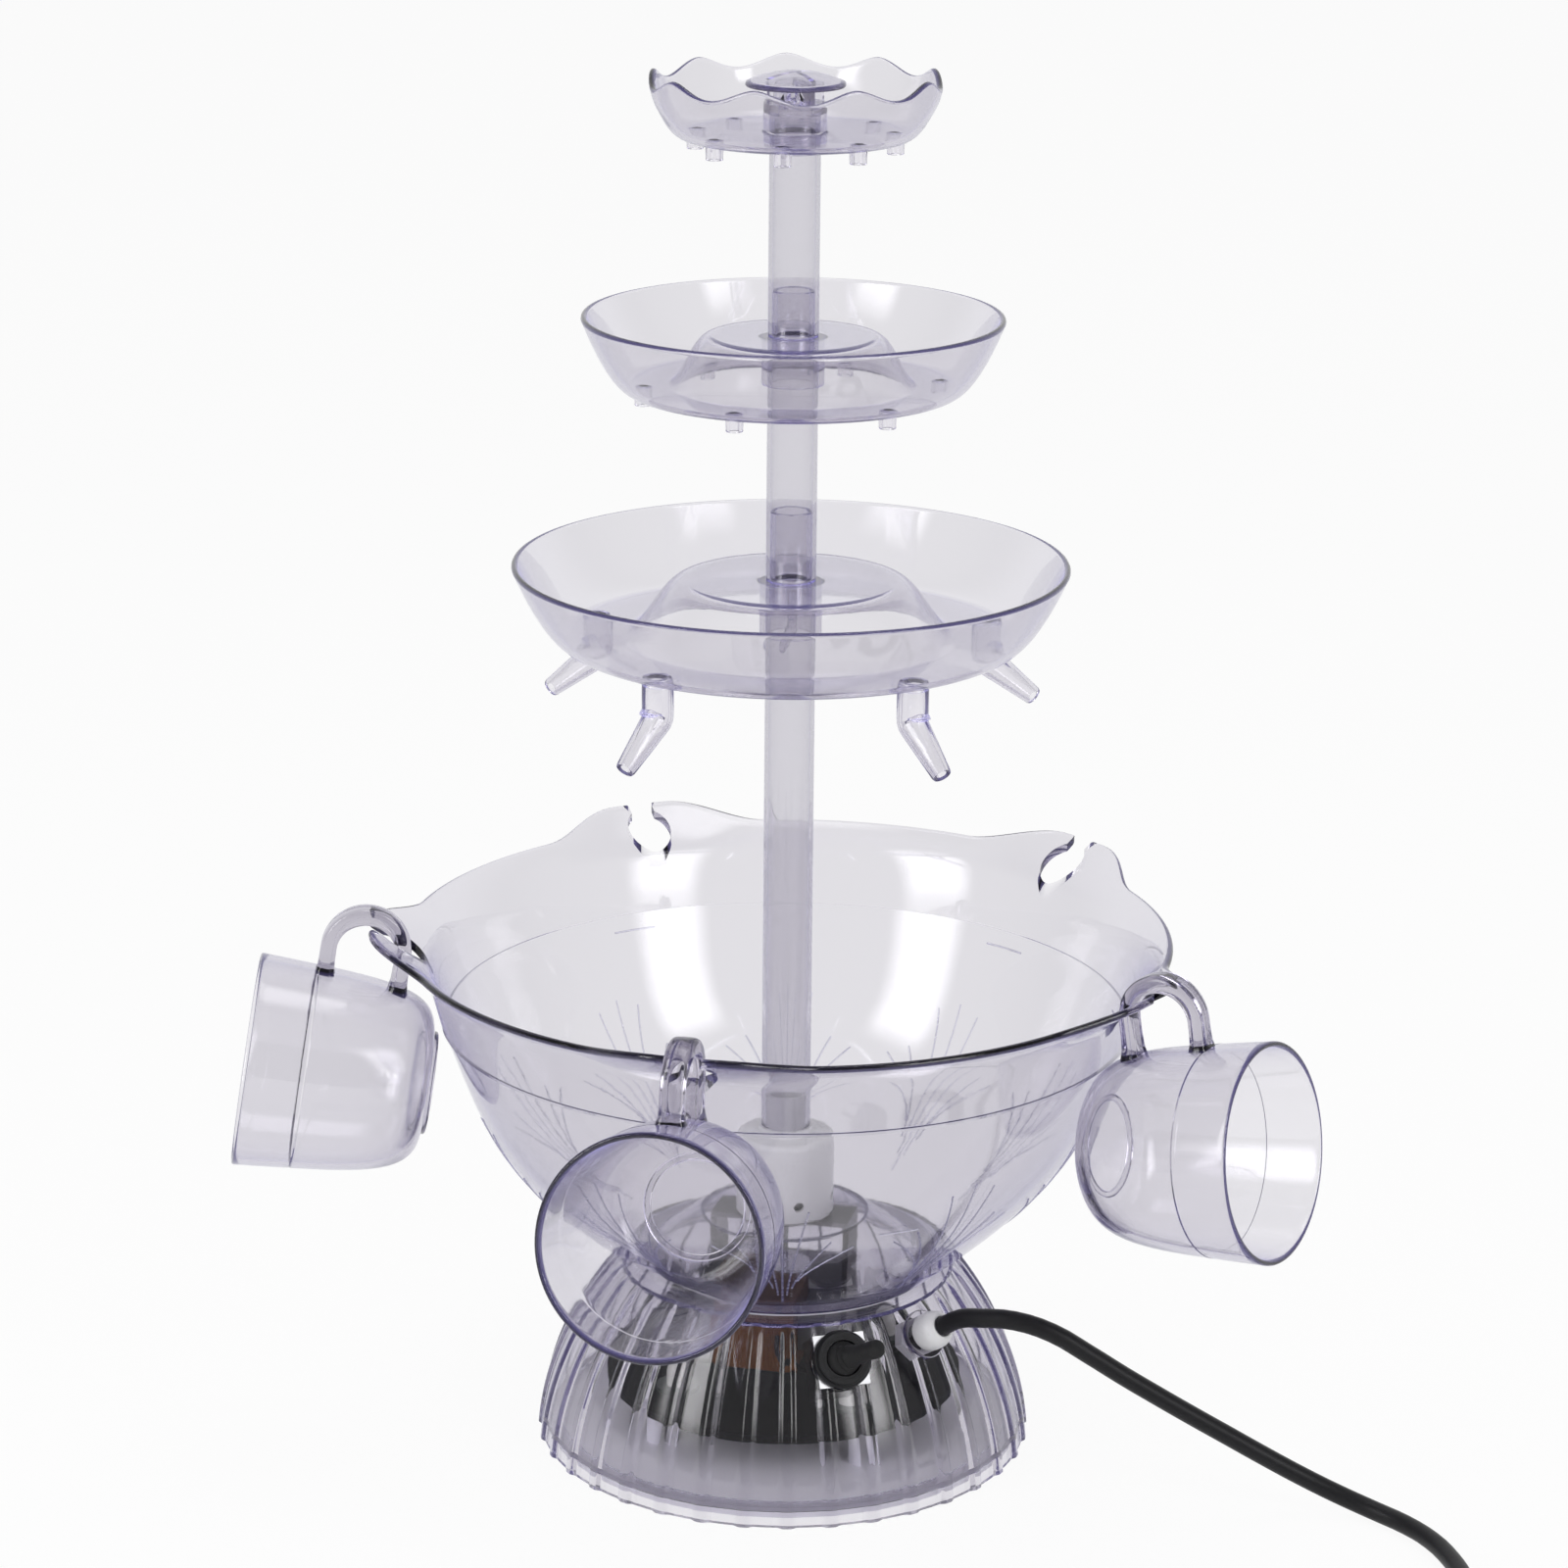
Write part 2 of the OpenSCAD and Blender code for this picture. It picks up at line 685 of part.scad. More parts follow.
// Lamps: round boards on the chassis, each with one domed lamp
module lamp_boards() {
    color(white_tone)
        translate([0, 0, chassis_top])
            ring_of(lamp_count, lamp_ring_r, lamp_turn + 360 / lamp_count / 2)
                cylinder(h = lamp_board_t, r = lamp_board_r, $fn = small_fn);
}
module lamps() {
    color(clear_tone)
        translate([0, 0, chassis_top + lamp_board_t])
            ring_of(lamp_count, lamp_ring_r, lamp_turn + 360 / lamp_count / 2) {
                cylinder(h = lamp_h - lamp_r, r = lamp_r, $fn = small_fn);
                translate([0, 0, lamp_h - lamp_r])
                    sphere(r = lamp_r, $fn = small_fn);
            }
}

// Toggle switch: plate and nut outside, body inside, a booted lever on a ball
module switch_plate() {
    color(steel_tone)
        on_shell(switch_turn, switch_share)
            translate([0, 0, pad_h])
                difference() {
                    translate([-plate_w / 2, -plate_h / 2, 0])
                        cube([plate_w, plate_h, plate_t]);
                    translate([0, 0, -overrun])
                        cylinder(h = plate_t + 2 * overrun, r = bushing_r + screw_fit, $fn = small_fn);
                }
}
module switch_body() {
    neck_z = -base_wall - pad_h;
    color(steel_tone)
        on_shell(switch_turn, switch_share)
            difference() {
                union() {
                    translate([-switch_w / 2, -switch_h / 2, -switch_depth])
                        cube([switch_w, switch_h, switch_depth + neck_z]);
                    translate([0, 0, neck_z - overrun])
                        cylinder(h = overrun - neck_z + pad_h + plate_t + nut_h, r = bushing_r, $fn = small_fn);
                }
                translate([0, 0, neck_z])
                    cylinder(h = 2 * switch_depth, r = bushing_r - bushing_wall, $fn = small_fn);
            }
}
module switch_nut() {
    color(black_tone)
        on_shell(switch_turn, switch_share)
            translate([0, 0, pad_h + plate_t])
                difference() {
                    cylinder(h = nut_h, r = nut_r, $fn = small_fn);
                    translate([0, 0, -overrun])
                        cylinder(h = nut_h + 2 * overrun, r = bushing_r + screw_fit, $fn = small_fn);
                }
}
module switch_lever() {
    color(rubber_tone)
        on_shell(switch_turn, switch_share)
            translate([0, 0, lever_z])
                rotate([0, lever_tilt, 0]) {
                    sphere(r = boot_r, $fn = small_fn);
                    rotate([90, 0, 0])
                        cylinder(h = 2 * boot_r + boot_gap, r = trunnion_r, center = true, $fn = small_fn);
                    cylinder(h = lever_len, r1 = lever_root_r, r2 = lever_tip_r, $fn = small_fn);
                    translate([0, 0, lever_len])
                        sphere(r = lever_tip_r, $fn = small_fn);
                }
}

// Cord gland with its nut inside the shell, and the leads to the switch and the motor
module cord_gland() {
    color(white_tone)
        on_shell(gland_turn, gland_share) {
            translate([0, 0, -base_wall - pad_h - gland_nut_h])
                cylinder(h = base_wall + 2 * pad_h + gland_nut_h + overrun, r = gland_shank_r, $fn = small_fn);
            translate([0, 0, pad_h])
                cylinder(h = gland_len / 2, r = gland_r, $fn = small_fn);
            translate([0, 0, pad_h + gland_len / 2])
                cylinder(h = gland_len / 2, r1 = gland_r, r2 = gland_nose_r, $fn = small_fn);
        }
}
module gland_nut() {
    color(white_tone)
        on_shell(gland_turn, gland_share)
            translate([0, 0, -base_wall - pad_h - gland_nut_h])
                difference() {
                    cylinder(h = gland_nut_h, r = gland_nut_r, $fn = 6);
                    translate([0, 0, -overrun])
                        cylinder(h = gland_nut_h + 2 * overrun, r = gland_shank_r + screw_fit, $fn = small_fn);
                }
}
module inner_leads() {
    gland_in = shell_point(gland_share) - (base_wall + pad_h + gland_nut_h + lead_gap) * shell_normal(gland_share);
    switch_in = shell_point(switch_share) - (switch_depth + lead_gap) * shell_normal(switch_share);
    sag_z = chassis_top + 3 * lead_r;
    sag_r = chassis_r - 4 * lead_r;
    coil_top = [stator_w / 2 - limb_w - 3 * lead_r, -limb_y - limb_w - coil_wrap - lead_r];
    to_switch = smooth([
        spun(gland_in, gland_turn),
        spun(gland_in - 4 * lead_r * shell_normal(gland_share), gland_turn),
        spun([sag_r - 6 * lead_r, (gland_in.y + sag_z) / 2], (gland_turn + switch_turn) / 2),
        spun(switch_in - 4 * lead_r * shell_normal(switch_share), switch_turn + lead_spread),
        spun(switch_in, switch_turn + lead_spread)], lead_samples);
    to_coil = smooth([
        spun(switch_in, switch_turn - lead_spread),
        spun(switch_in - 3 * lead_r * shell_normal(switch_share), switch_turn - lead_spread),
        [coil_top.x, coil_top.y - 4 * lead_r, motor_mid_z - coil_wrap],
        [coil_top.x - 2 * lead_r, coil_top.y, motor_mid_z]], lead_samples);
    color(black_tone) {
        swept_tube(to_switch, lead_r, lead_sides);
        swept_tube(to_coil, lead_r, lead_sides);
    }
}

// Bowl: a flared clear bowl with a hump over the motor and keyhole hooks around the rim
module bowl_gasket() {
    color(rubber_tone)
        translate([0, 0, base_h])
            difference() {
                cylinder(h = gasket_t, r = seat_r + gasket_w, $fn = round_fn);
                translate([0, 0, -overrun])
                    cylinder(h = gasket_t + 2 * overrun, r = seat_r, $fn = round_fn);
            }
}
module bowl_turned() {
    slope = bowl_wall / 2;
    rotate_extrude($fn = round_fn)
        polygon(concat(
            [[seal_r, hump_z], [hump_top_r, hump_z], [hump_foot_r, bowl_z]],
            traced(bowl_curve), traced(band_curve),
            reversed(traced(band_curve, bowl_wall)), reversed(traced(bowl_curve, bowl_wall)),
            [[hump_foot_r + slope, bowl_z + bowl_wall], [hump_top_r + slope, pump_z], [seal_r, pump_z]]));
}
module hook_outline() {
    side = span([hook_w / 2, bowl_rim_r - hook_reach], [hook_tip_w / 2, hook_tip_r + overrun], hook_shares);
    edge = traced(side);
    polygon(concat(edge, reversed([for (p = edge) [-p.x, p.y]])));
}
module hook_notch() {
    translate([0, -notch_ring_r, line_z]) {
        cylinder(h = bowl_h, r = notch_r, $fn = small_fn);
        translate([-hook_gap / 2, -notch_r - hook_reach, 0])
            cube([hook_gap, notch_r + hook_reach, bowl_h]);
    }
}
module hook_flange() {
    intersection() {
        rotate_extrude($fn = round_fn)
            polygon([hook_root, hook_tip, hook_top, hook_root + bowl_wall * left_of(lip_heading)]);
        translate([0, 0, line_z])
            linear_extrude(bowl_h)
                for (i = [0 : hook_count - 1])
                    rotate([0, 0, 180 + i * 360 / hook_count])
                        hook_outline();
    }
}
module bowl() {
    color(clear_tone)
        difference() {
            union() {
                bowl_turned();
                hook_flange();
                translate([0, 0, hump_z])
                    difference() {
                        cylinder(h = bowl_wall + boss_h, r = pump_r - pump_wall - tube_fit, $fn = round_fn);
                        translate([0, 0, -overrun])
                            cylinder(h = bowl_wall + boss_h + 2 * overrun,
                                r = pump_r - pump_wall - tube_fit - boss_w, $fn = round_fn);
                    }
            }
            for (i = [0 : hook_count - 1])
                rotate([0, 0, i * 360 / hook_count])
                    hook_notch();
            translate([0, 0, hump_z - overrun])
                ring_of(pump_screw_count, pump_screw_ring_r)
                    cylinder(h = bowl_wall + 2 * overrun, r = screw_r + screw_fit, $fn = small_fn);
        }
}
module shaft_seal() {
    color(rubber_tone)
        translate([0, 0, hump_z])
            difference() {
                cylinder(h = bowl_wall + screw_head_h, r = seal_r - shaft_fit, $fn = small_fn);
                translate([0, 0, -overrun])
                    cylinder(h = 2 * bowl_wall + 2 * screw_head_h, r = shaft_r + shaft_fit, $fn = small_fn);
            }
}
module pump_screws() {
    color(steel_tone)
        translate([0, 0, pump_z])
            ring_of(pump_screw_count, pump_screw_ring_r)
                rotate([180, 0, 0])
                    headed_screw(bowl_wall + frame_t);
}

// Pump: a white cover with intake holes and a spigot for the column, over the impeller
module pump_cover() {
    intake_r = 2;
    intake_z = 7;
    intake_count = 6;
    inside = pump_r - pump_wall;
    color(white_tone)
        translate([0, 0, pump_z])
            difference() {
                union() {
                    cylinder(h = pump_h, r = pump_r, $fn = round_fn);
                    cylinder(h = pump_h + collar_h, r = tube_od / 2 + pump_wall / 2, $fn = round_fn);
                    cylinder(h = pump_h + collar_h + pump_spigot_h, r = spigot_r, $fn = round_fn);
                }
                translate([0, 0, -overrun])
                    cylinder(h = pump_h - pump_wall + overrun, r = inside, $fn = round_fn);
                cylinder(h = pump_h + collar_h + pump_spigot_h + overrun, r = spigot_bore, $fn = round_fn);
                ring_of(intake_count, 0, 360 / intake_count / 2)
                    translate([0, 0, intake_z])
                        rotate([90, 0, 0])
                            cylinder(h = pump_r + overrun, r = intake_r, $fn = small_fn);
            }
}
module impeller() {
    color(white_tone)
        translate([0, 0, pump_z + impeller_lift])
            difference() {
                union() {
                    cylinder(h = impeller_disc_t, r = impeller_r, $fn = small_fn);
                    cylinder(h = impeller_h, r = hub_r, $fn = small_fn);
                    for (i = [0 : blade_count - 1])
                        rotate([0, 0, i * 360 / blade_count])
                            translate([0, -blade_t / 2, 0])
                                cube([impeller_r - blade_t / 2, blade_t, impeller_h]);
                }
                translate([0, 0, -overrun])
                    cylinder(h = impeller_h + 2 * overrun, r = shaft_r, $fn = small_fn);
            }
}

// Column tubes
module column_tube(z, length) {
    color(clear_tone)
        translate([0, 0, z])
            difference() {
                cylinder(h = length, r = tube_od / 2, $fn = round_fn);
                translate([0, 0, -overrun])
                    cylinder(h = length + 2 * overrun, r = tube_od / 2 - tube_wall, $fn = round_fn);
            }
}
module lower_tube() {
    column_tube(tube_z, lower_tube_len);
}
module middle_tube() {
    column_tube(middle_tube_z, middle_tube_len);
}
module upper_tube() {
    column_tube(upper_tube_z, upper_tube_len);
}

// Trays: a raised centre with a socket below and a spigot above, inside a ring trough
module tray_turned(z, rim_r, rim_rise, depth, plateau_r, foot_r, wall_r) {
    dome = span([plateau_r, z], [foot_r, z - depth], dome_shares);
    side = span([wall_r, z - depth], [rim_r, z + tray_wall + rim_rise], wall_shares);
    rotate_extrude($fn = round_fn)
        polygon(concat([[spigot_bore, z]], traced(dome), traced(side),
            reversed(traced(side, tray_wall)), reversed(traced(dome, tray_wall)),
            [[spigot_bore, z + tray_wall]]));
}
module tray_hub(z, spigot_h, socket_h) {
    difference() {
        union() {
            translate([0, 0, z - socket_h])
                cylinder(h = socket_h + tray_wall / 2, r = hub_out_r, $fn = round_fn);
            translate([0, 0, z])
                cylinder(h = tray_wall + spigot_h, r = spigot_r, $fn = round_fn);
        }
        translate([0, 0, z - socket_h - overrun])
            cylinder(h = socket_h + overrun, r = socket_r, $fn = round_fn);
        translate([0, 0, z - overrun])
            cylinder(h = tray_wall + spigot_h + 2 * overrun, r = spigot_bore, $fn = round_fn);
    }
}
module drip_nozzle(h) {
    difference() {
        cylinder(h = h, r = nozzle_r, $fn = small_fn);
        translate([0, 0, -overrun])
            cylinder(h = h + 2 * overrun, r = nozzle_bore, $fn = small_fn);
    }
}
module lower_tray() {
    floor_z = lower_tray_z - lower_tray_depth;
    color(clear_tone)
        difference() {
            union() {
                tray_turned(lower_tray_z, lower_tray_r, lower_rim_rise, lower_tray_depth, lower_plateau_r,
                    lower_foot_r, lower_wall_r);
                tray_hub(lower_tray_z, lower_spigot_h, lower_tray_depth - tray_wall);
            }
            translate([0, 0, floor_z - overrun])
                ring_of(spout_count, spout_ring_r, spout_turn)
                    cylinder(h = tray_wall + 2 * overrun, r = spout_shank_r + spout_fit, $fn = small_fn);
        }
}
module middle_tray() {
    floor_z = middle_tray_z - middle_tray_depth;
    color(clear_tone)
        difference() {
            union() {
                tray_turned(middle_tray_z, middle_tray_r, middle_rim_rise, middle_tray_depth, middle_plateau_r,
                    middle_foot_r, middle_wall_r);
                tray_hub(middle_tray_z, middle_spigot_h, middle_tray_depth - tray_wall);
                translate([0, 0, floor_z - nozzle_drop])
                    ring_of(middle_nozzles, middle_nozzle_ring, middle_nozzle_turn)
                        drip_nozzle(nozzle_drop + tray_wall / 2);
            }
            translate([0, 0, floor_z - overrun])
                ring_of(middle_nozzles, middle_nozzle_ring, middle_nozzle_turn)
                    cylinder(h = tray_wall + 2 * overrun, r = nozzle_bore, $fn = small_fn);
        }
}
module top_tray() {
    side = span([top_floor_r, top_floor_z], [top_tray_r, top_rim_z], top_shares);
    wave_chord = wave_span_share * 2 * PI * top_tray_r / wave_count;
    wave_r = (wave_chord * wave_chord / 4 + wave_h * wave_h) / (2 * wave_h);
    color(clear_tone)
        difference() {
            union() {
                rotate_extrude($fn = round_fn)
                    polygon(concat([[socket_r, top_floor_z]], traced(side), reversed(traced(side, tray_wall)),
                        [[socket_r, top_floor_z + tray_wall]]));
                translate([0, 0, top_floor_z - nozzle_drop])
                    difference() {
                        cylinder(h = top_hub_z + top_hub_h - top_floor_z + nozzle_drop, r = hub_out_r,
                            $fn = round_fn);
                        translate([0, 0, -overrun])
                            cylinder(h = top_hub_z - top_floor_z + nozzle_drop + overrun, r = socket_r,
                                $fn = round_fn);
                        cylinder(h = 2 * top_tray_depth, r = spigot_bore, $fn = round_fn);
                    }
                translate([0, 0, top_floor_z - nozzle_drop])
                    ring_of(top_nozzles, top_nozzle_ring, top_nozzle_turn)
                        drip_nozzle(nozzle_drop + tray_wall / 2);
            }
            translate([0, 0, top_floor_z - overrun])
                ring_of(top_nozzles, top_nozzle_ring, top_nozzle_turn)
                    cylinder(h = tray_wall + 2 * overrun, r = nozzle_bore, $fn = small_fn);
            ring_of(wave_count, 0, wave_turn)
                translate([0, -top_floor_r, top_rim_z - wave_h + wave_r])
                    rotate([90, 0, 0])
                        cylinder(h = top_tray_r, r = wave_r, $fn = round_fn);
        }
}

// Spouts: push-in bent nozzles under the lower tray
module spout(index) {
    floor_z = lower_tray_z - lower_tray_depth;
    color(clear_tone)
        rotate([0, 0, spout_turn + index * 360 / spout_count])
            translate([0, -spout_ring_r, floor_z]) rotate([0, 0, spout_twists[index]])
                difference() {
                    union() {
                        cylinder(h = tray_wall, r = spout_shank_r, $fn = small_fn);
                        translate([0, 0, -spout_drop])
                            cylinder(h = spout_drop, r = spout_r, $fn = small_fn);
                        translate([0, 0, -spout_drop]) {
                            sphere(r = spout_r, $fn = small_fn);
                            rotate([180 - spout_tilt, 0, 0])
                                cylinder(h = spout_len, r1 = spout_r, r2 = spout_tip_r, $fn = small_fn);
                        }
                    }
                    translate([0, 0, -spout_drop])
                        cylinder(h = spout_drop + tray_wall + overrun, r = spout_bore, $fn = small_fn);
                    translate([0, 0, -spout_drop])
                        rotate([180 - spout_tilt, 0, 0])
                            translate([0, 0, -spout_bore])
                                cylinder(h = spout_len + spout_bore + overrun, r = spout_tip_bore,
                                    $fn = small_fn);
                }
}

// Cap: a mushroom dome on four fins that let the drink out under it
module top_cap() {
    dome_r = (cap_r * cap_r + cap_dome_h * cap_dome_h) / (2 * cap_dome_h);
    seat_z = top_hub_z + top_hub_h;
    edge_z = seat_z + cap_lift;
    color(clear_tone) {
        translate([0, 0, edge_z])
            cylinder(h = cap_edge_t, r = cap_r, $fn = round_fn);
        intersection() {
            translate([0, 0, edge_z + cap_edge_t + cap_dome_h - dome_r])
                sphere(r = dome_r, $fn = round_fn);
            translate([0, 0, edge_z + cap_edge_t / 2])
                cylinder(h = 2 * cap_dome_h, r = cap_r, $fn = round_fn);
        }
        for (turn = [45, 135])
            rotate([0, 0, turn]) {
                translate([-hub_out_r, -fin_t / 2, seat_z])
                    cube([2 * hub_out_r, fin_t, cap_lift + cap_edge_t / 2]);
                translate([-spigot_bore + fin_fit, -fin_t / 2, seat_z - top_hub_h / 2])
                    cube([2 * (spigot_bore - fin_fit), fin_t, top_hub_h]);
            }
    }
}

// Cups: round tumblers with a strap handle, hung by the handle from the hooks
module strap_section(a, b) {
    x = a / 2;
    y = b / 2;
    e = handle_edge;
    polygon([[x, y - e], [x - e, y], [e - x, y], [-x, y - e],
        [-x, e - y], [e - x, -y], [x - e, -y], [x, e - y]]);
}
module cup_handle() {
    for (side = [-1, 1])
        translate([0, cup_foot_r, handle_mid_z + side * arch_r])
            rotate([-90, 0, 0])
                linear_extrude(arch_y - cup_foot_r)
                    strap_section(handle_w, handle_t);
    translate([0, arch_y, handle_mid_z])
        rotate([0, -90, 0]) {
            rotate_extrude(angle = 180, $fn = round_fn)
                translate([arch_r, 0])
                    strap_section(handle_t, handle_w);
            rotate([0, 0, 90 - pad_angle / 2])
                rotate_extrude(angle = pad_angle, $fn = round_fn)
                    translate([arch_r, 0])
                        strap_section(handle_t, pad_w);
        }
}
module cup(index) {
    color(clear_tone)
        rotate([0, 0, index * 360 / hook_count])
            translate([0, -cup_rho, cup_z])
                rotate([90 - cup_tilt, 0, 0])
                    difference() {
                        union() {
                            rotate_extrude($fn = round_fn)
                                polygon(concat([[0, 0], [cup_foot_r, 0]], traced(cup_curve), [[0, cup_h]]));
                            cup_handle();
                        }
                        rotate_extrude($fn = round_fn)
                            polygon(concat([[0, cup_foot_h + cup_wall]], traced(cup_inside),
                                [[cup_r - cup_wall, cup_h + overrun], [0, cup_h + overrun]]));
                        translate([0, 0, -overrun])
                            cylinder(h = cup_foot_h + overrun, r = cup_foot_r - cup_foot_w, $fn = round_fn);
                    }
}
module cup_left() {
    cup(-1);
}
module cup_front() {
    cup(0);
}
module cup_right() {
    cup(1);
}

// Mains cord: the free run, the coil, the lead to the plug, a tie and the plug
module mains_cord() {
    color(black_tone)
        swept_tube(cord_path, cord_d / 2, cord_sides);
}
module cord_coil() {
    color(black_tone)
        swept_tube(coil_path, cord_d / 2, coil_sides);
}
module plug_lead() {
    color(black_tone)
        swept_tube(lead_path, cord_d / 2, cord_sides);
}
module cord_tie() {
    inner = coil_r - coil_pitch * coil_half - cord_d / 2 - tie_gap;
    outer = coil_r + cord_d / 2 + tie_gap;
    top = coil_pitch + cord_d + 2 * tie_gap;
    color(rubber_tone)
        translate([coil_x, coil_y, 0])
            rotate([0, 0, tie_turn])
                difference() {
                    translate([inner - tie_t, -tie_w / 2, 0])
                        cube([outer - inner + 2 * tie_t, tie_w, top + 2 * tie_t]);
                    translate([inner, -tie_w, tie_t])
                        cube([outer - inner, 2 * tie_w, top]);
                }
}
module plug_body() {
    body_x = plug_x - relief_len - plug_len;
    color(black_tone) {
        translate([plug_x - relief_len - plug_edge, plug_y, plug_t / 2])
            rotate([0, 90, 0])
                cylinder(h = relief_len + plug_edge, r1 = relief_r, r2 = cord_d / 2 + tie_t, $fn = small_fn);
        translate([body_x, plug_y, 0])
            linear_extrude(plug_t)
                polygon([[0, -plug_w / 2 + plug_edge], [plug_edge, -plug_w / 2], [plug_len / 2, -plug_w / 2],
                    [plug_len, -relief_r - tie_t], [plug_len, relief_r + tie_t], [plug_len / 2, plug_w / 2],
                    [plug_edge, plug_w / 2], [0, plug_w / 2 - plug_edge]]);
    }
}
module plug_pins() {
    color(steel_tone)
        for (side = [-1, 1])
            translate([plug_x - relief_len - plug_len, plug_y + side * pin_spacing / 2, plug_t / 2])
                rotate([0, -90, 0])
                    cylinder(h = pin_len, r = pin_r, $fn = small_fn);
}

base_shell();
bottom_cover();
cover_screws();
chassis_plate();
motor_frame();
frame_screws();
motor_stator();
motor_coil();
motor_bearings();
motor_rotor();
lamp_boards();
lamps();
switch_plate();
switch_body();
switch_nut();
switch_lever();
cord_gland();
gland_nut();
inner_leads();
bowl_gasket();
bowl();
shaft_seal();
pump_screws();
pump_cover();
impeller();
lower_tube();
lower_tray();
spout(0);  // spout_1
spout(1);  // spout_2
spout(2);  // spout_3
spout(3);  // spout_4
spout(4);  // spout_5
middle_tube();
middle_tray();
upper_tube();
top_tray();
top_cap();
cup_left();
cup_front();
cup_right();
mains_cord();
cord_coil();
plug_lead();
cord_tie();
plug_body();
plug_pins();
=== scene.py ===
"""Drinks fountain: clear trays on a column, over a bowl with hanging cups and a fluted base."""
import math

import bpy
import numpy as np
from mathutils import Matrix, Vector


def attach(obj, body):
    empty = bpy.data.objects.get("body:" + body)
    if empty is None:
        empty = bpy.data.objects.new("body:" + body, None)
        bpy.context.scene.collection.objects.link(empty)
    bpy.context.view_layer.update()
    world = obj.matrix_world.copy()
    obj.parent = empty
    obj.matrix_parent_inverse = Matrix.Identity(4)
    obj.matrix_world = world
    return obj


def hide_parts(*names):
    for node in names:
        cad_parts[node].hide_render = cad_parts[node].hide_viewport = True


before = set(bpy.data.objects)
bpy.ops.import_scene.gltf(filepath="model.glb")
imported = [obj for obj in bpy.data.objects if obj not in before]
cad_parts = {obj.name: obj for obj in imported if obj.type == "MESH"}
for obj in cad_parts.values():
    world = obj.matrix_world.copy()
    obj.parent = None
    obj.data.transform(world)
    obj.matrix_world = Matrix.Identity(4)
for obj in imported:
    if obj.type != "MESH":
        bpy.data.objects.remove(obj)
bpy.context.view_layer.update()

MM = 0.001
TURN = 2 * math.pi
LONG_RUN, RUN_END, MERGE = 4.0, 0.6, 0.002

# Sizes of the fountain in millimetres, as in the part's source
BASE_R, BASE_TOP_R, BASE_H, BASE_WALL = 91.0, 63.0, 67.0, 2.4
BASE_SHARES = ((0.07, 0.36), (0.46, 0.72))
FLUTES, FLUTE_DEPTH, FLUTE_SHARE, FLUTE_TURN = 36, 1.2, 0.33, 4.2
SEAT_R = 50.0
LEDGE_Z, LEDGE_T, LEDGE_R = 5.0, 2.0, 83.6
BOWL_Z, LINE_Z, RIM_Z, BOWL_WALL = 68.5, 164.0, 192.5, 2.6
BOWL_FOOT_R, LINE_R, LINE_STEP, RIM_R = 58.0, 126.5, 0.5, 141.0
BOWL_SHARES = ((0.785, 0.466), (0.785, 0.592))
BAND_SHARES = ((0.21, 0.42), (0.41, 0.86))
HUMP_Z, HUMP_FOOT_R, HUMP_TOP_R, SEAL_R = 83.5, 48.0, 30.0, 5.0
PUMP_Z, PUMP_R, PUMP_WALL, PUMP_H = 86.1, 18.0, 1.8, 32.0
COLLAR_H, PUMP_SPIGOT_H = 2.5, 15.0
HOOKS, HOOK_REACH, LIP_RISE = 5, 12.0, 0.483
NOTCH_R, NOTCH_RING_R, HOOK_GAP, JAW_R = 8.5, 140.0, 9.4, 3.6
NOTCH_LOW, NOTCH_HIGH = 4, 20
TUBE_R, TUBE_WALL, TUBE_FIT = 9.0, 1.4, 0.1
SPIGOT_R = TUBE_R - TUBE_WALL - TUBE_FIT
SPIGOT_BORE = SPIGOT_R - 1.6
SOCKET_R = TUBE_R + TUBE_FIT
HUB_R = SOCKET_R + 2.0
TRAY_WALL = 2.2
DOME_SHARES = ((0.35, 0.0), (0.6, 1.0))
WALL_SHARES = ((0.35, 0.0), (0.72, 0.52))
TOP_SHARES = ((0.55, 0.03), (0.85, 0.5))
LOW_TUBE_Z, LOW_TRAY_Z, LOW_DEPTH = 120.6, 325.6, 20.3
MID_TUBE_Z, MID_TRAY_Z, MID_DEPTH = 327.8, 413.8, 17.5
TOP_TUBE_Z, TOP_HUB_Z = 416.0, 494.0
TOP_FLOOR_Z, TOP_RIM_Z, TOP_R, TOP_FLOOR_R = 485.0, 507.8, 51.0, 38.0
TOP_HUB_H, WAVES, WAVE_H, WAVE_TURN = 3.5, 9, 4.6, 17.0
WAVE_SHAPE, WAVE_LOW = 0.85, 0.25
NOZZLE_R, NOZZLE_BORE, NOZZLE_DROP, DRILL_REACH = 3.2, 1.8, 4.5, 8
SPOUT_RING_R, SPOUT_TURN, SPOUTS = 75.0, 47.5, 5
SPOUT_TWISTS = (0, 0, 34, 0, 0)
SPOUT_DROP, SPOUT_LEN, SPOUT_TILT = 13.0, 23.0, 51.0
SPOUT_R, SPOUT_TIP_R, SPOUT_WALL = 5.6, 3.5, 1.5
CAP_R, CAP_DOME_H, CAP_EDGE_T, CAP_LIFT, CAP_WALL = 17.5, 3.9, 1.6, 5.5, 2.7
CUP_R, CUP_H, CUP_WALL, CUP_FOOT_R, CUP_FOOT_H = 39.0, 68.0, 2.0, 19.0, 1.5
CUP_SHARES = ((0.84, 0.01), (0.84, 0.31))
CUP_TILT, CUP_RHO, CUP_Z = 9.5, 130.748, 138.749
ARCH_R, ARCH_Y, HANDLE_MID = 13.5, 47.4, 31.0
HANDLE_W, HANDLE_T = 8.6, 6.0
SWITCH_TURN, SWITCH_SHARE = 29.5, 0.8
GLAND_TURN, GLAND_SHARE = 59.0, 0.83
PAD_H, PLATE_T, NUT_R, NUT_H, BUSHING_R = 1.7, 1.0, 10.6, 4.0, 7.6
SWITCH_PAD_R, GLAND_PAD_R = 11.0, 9.0
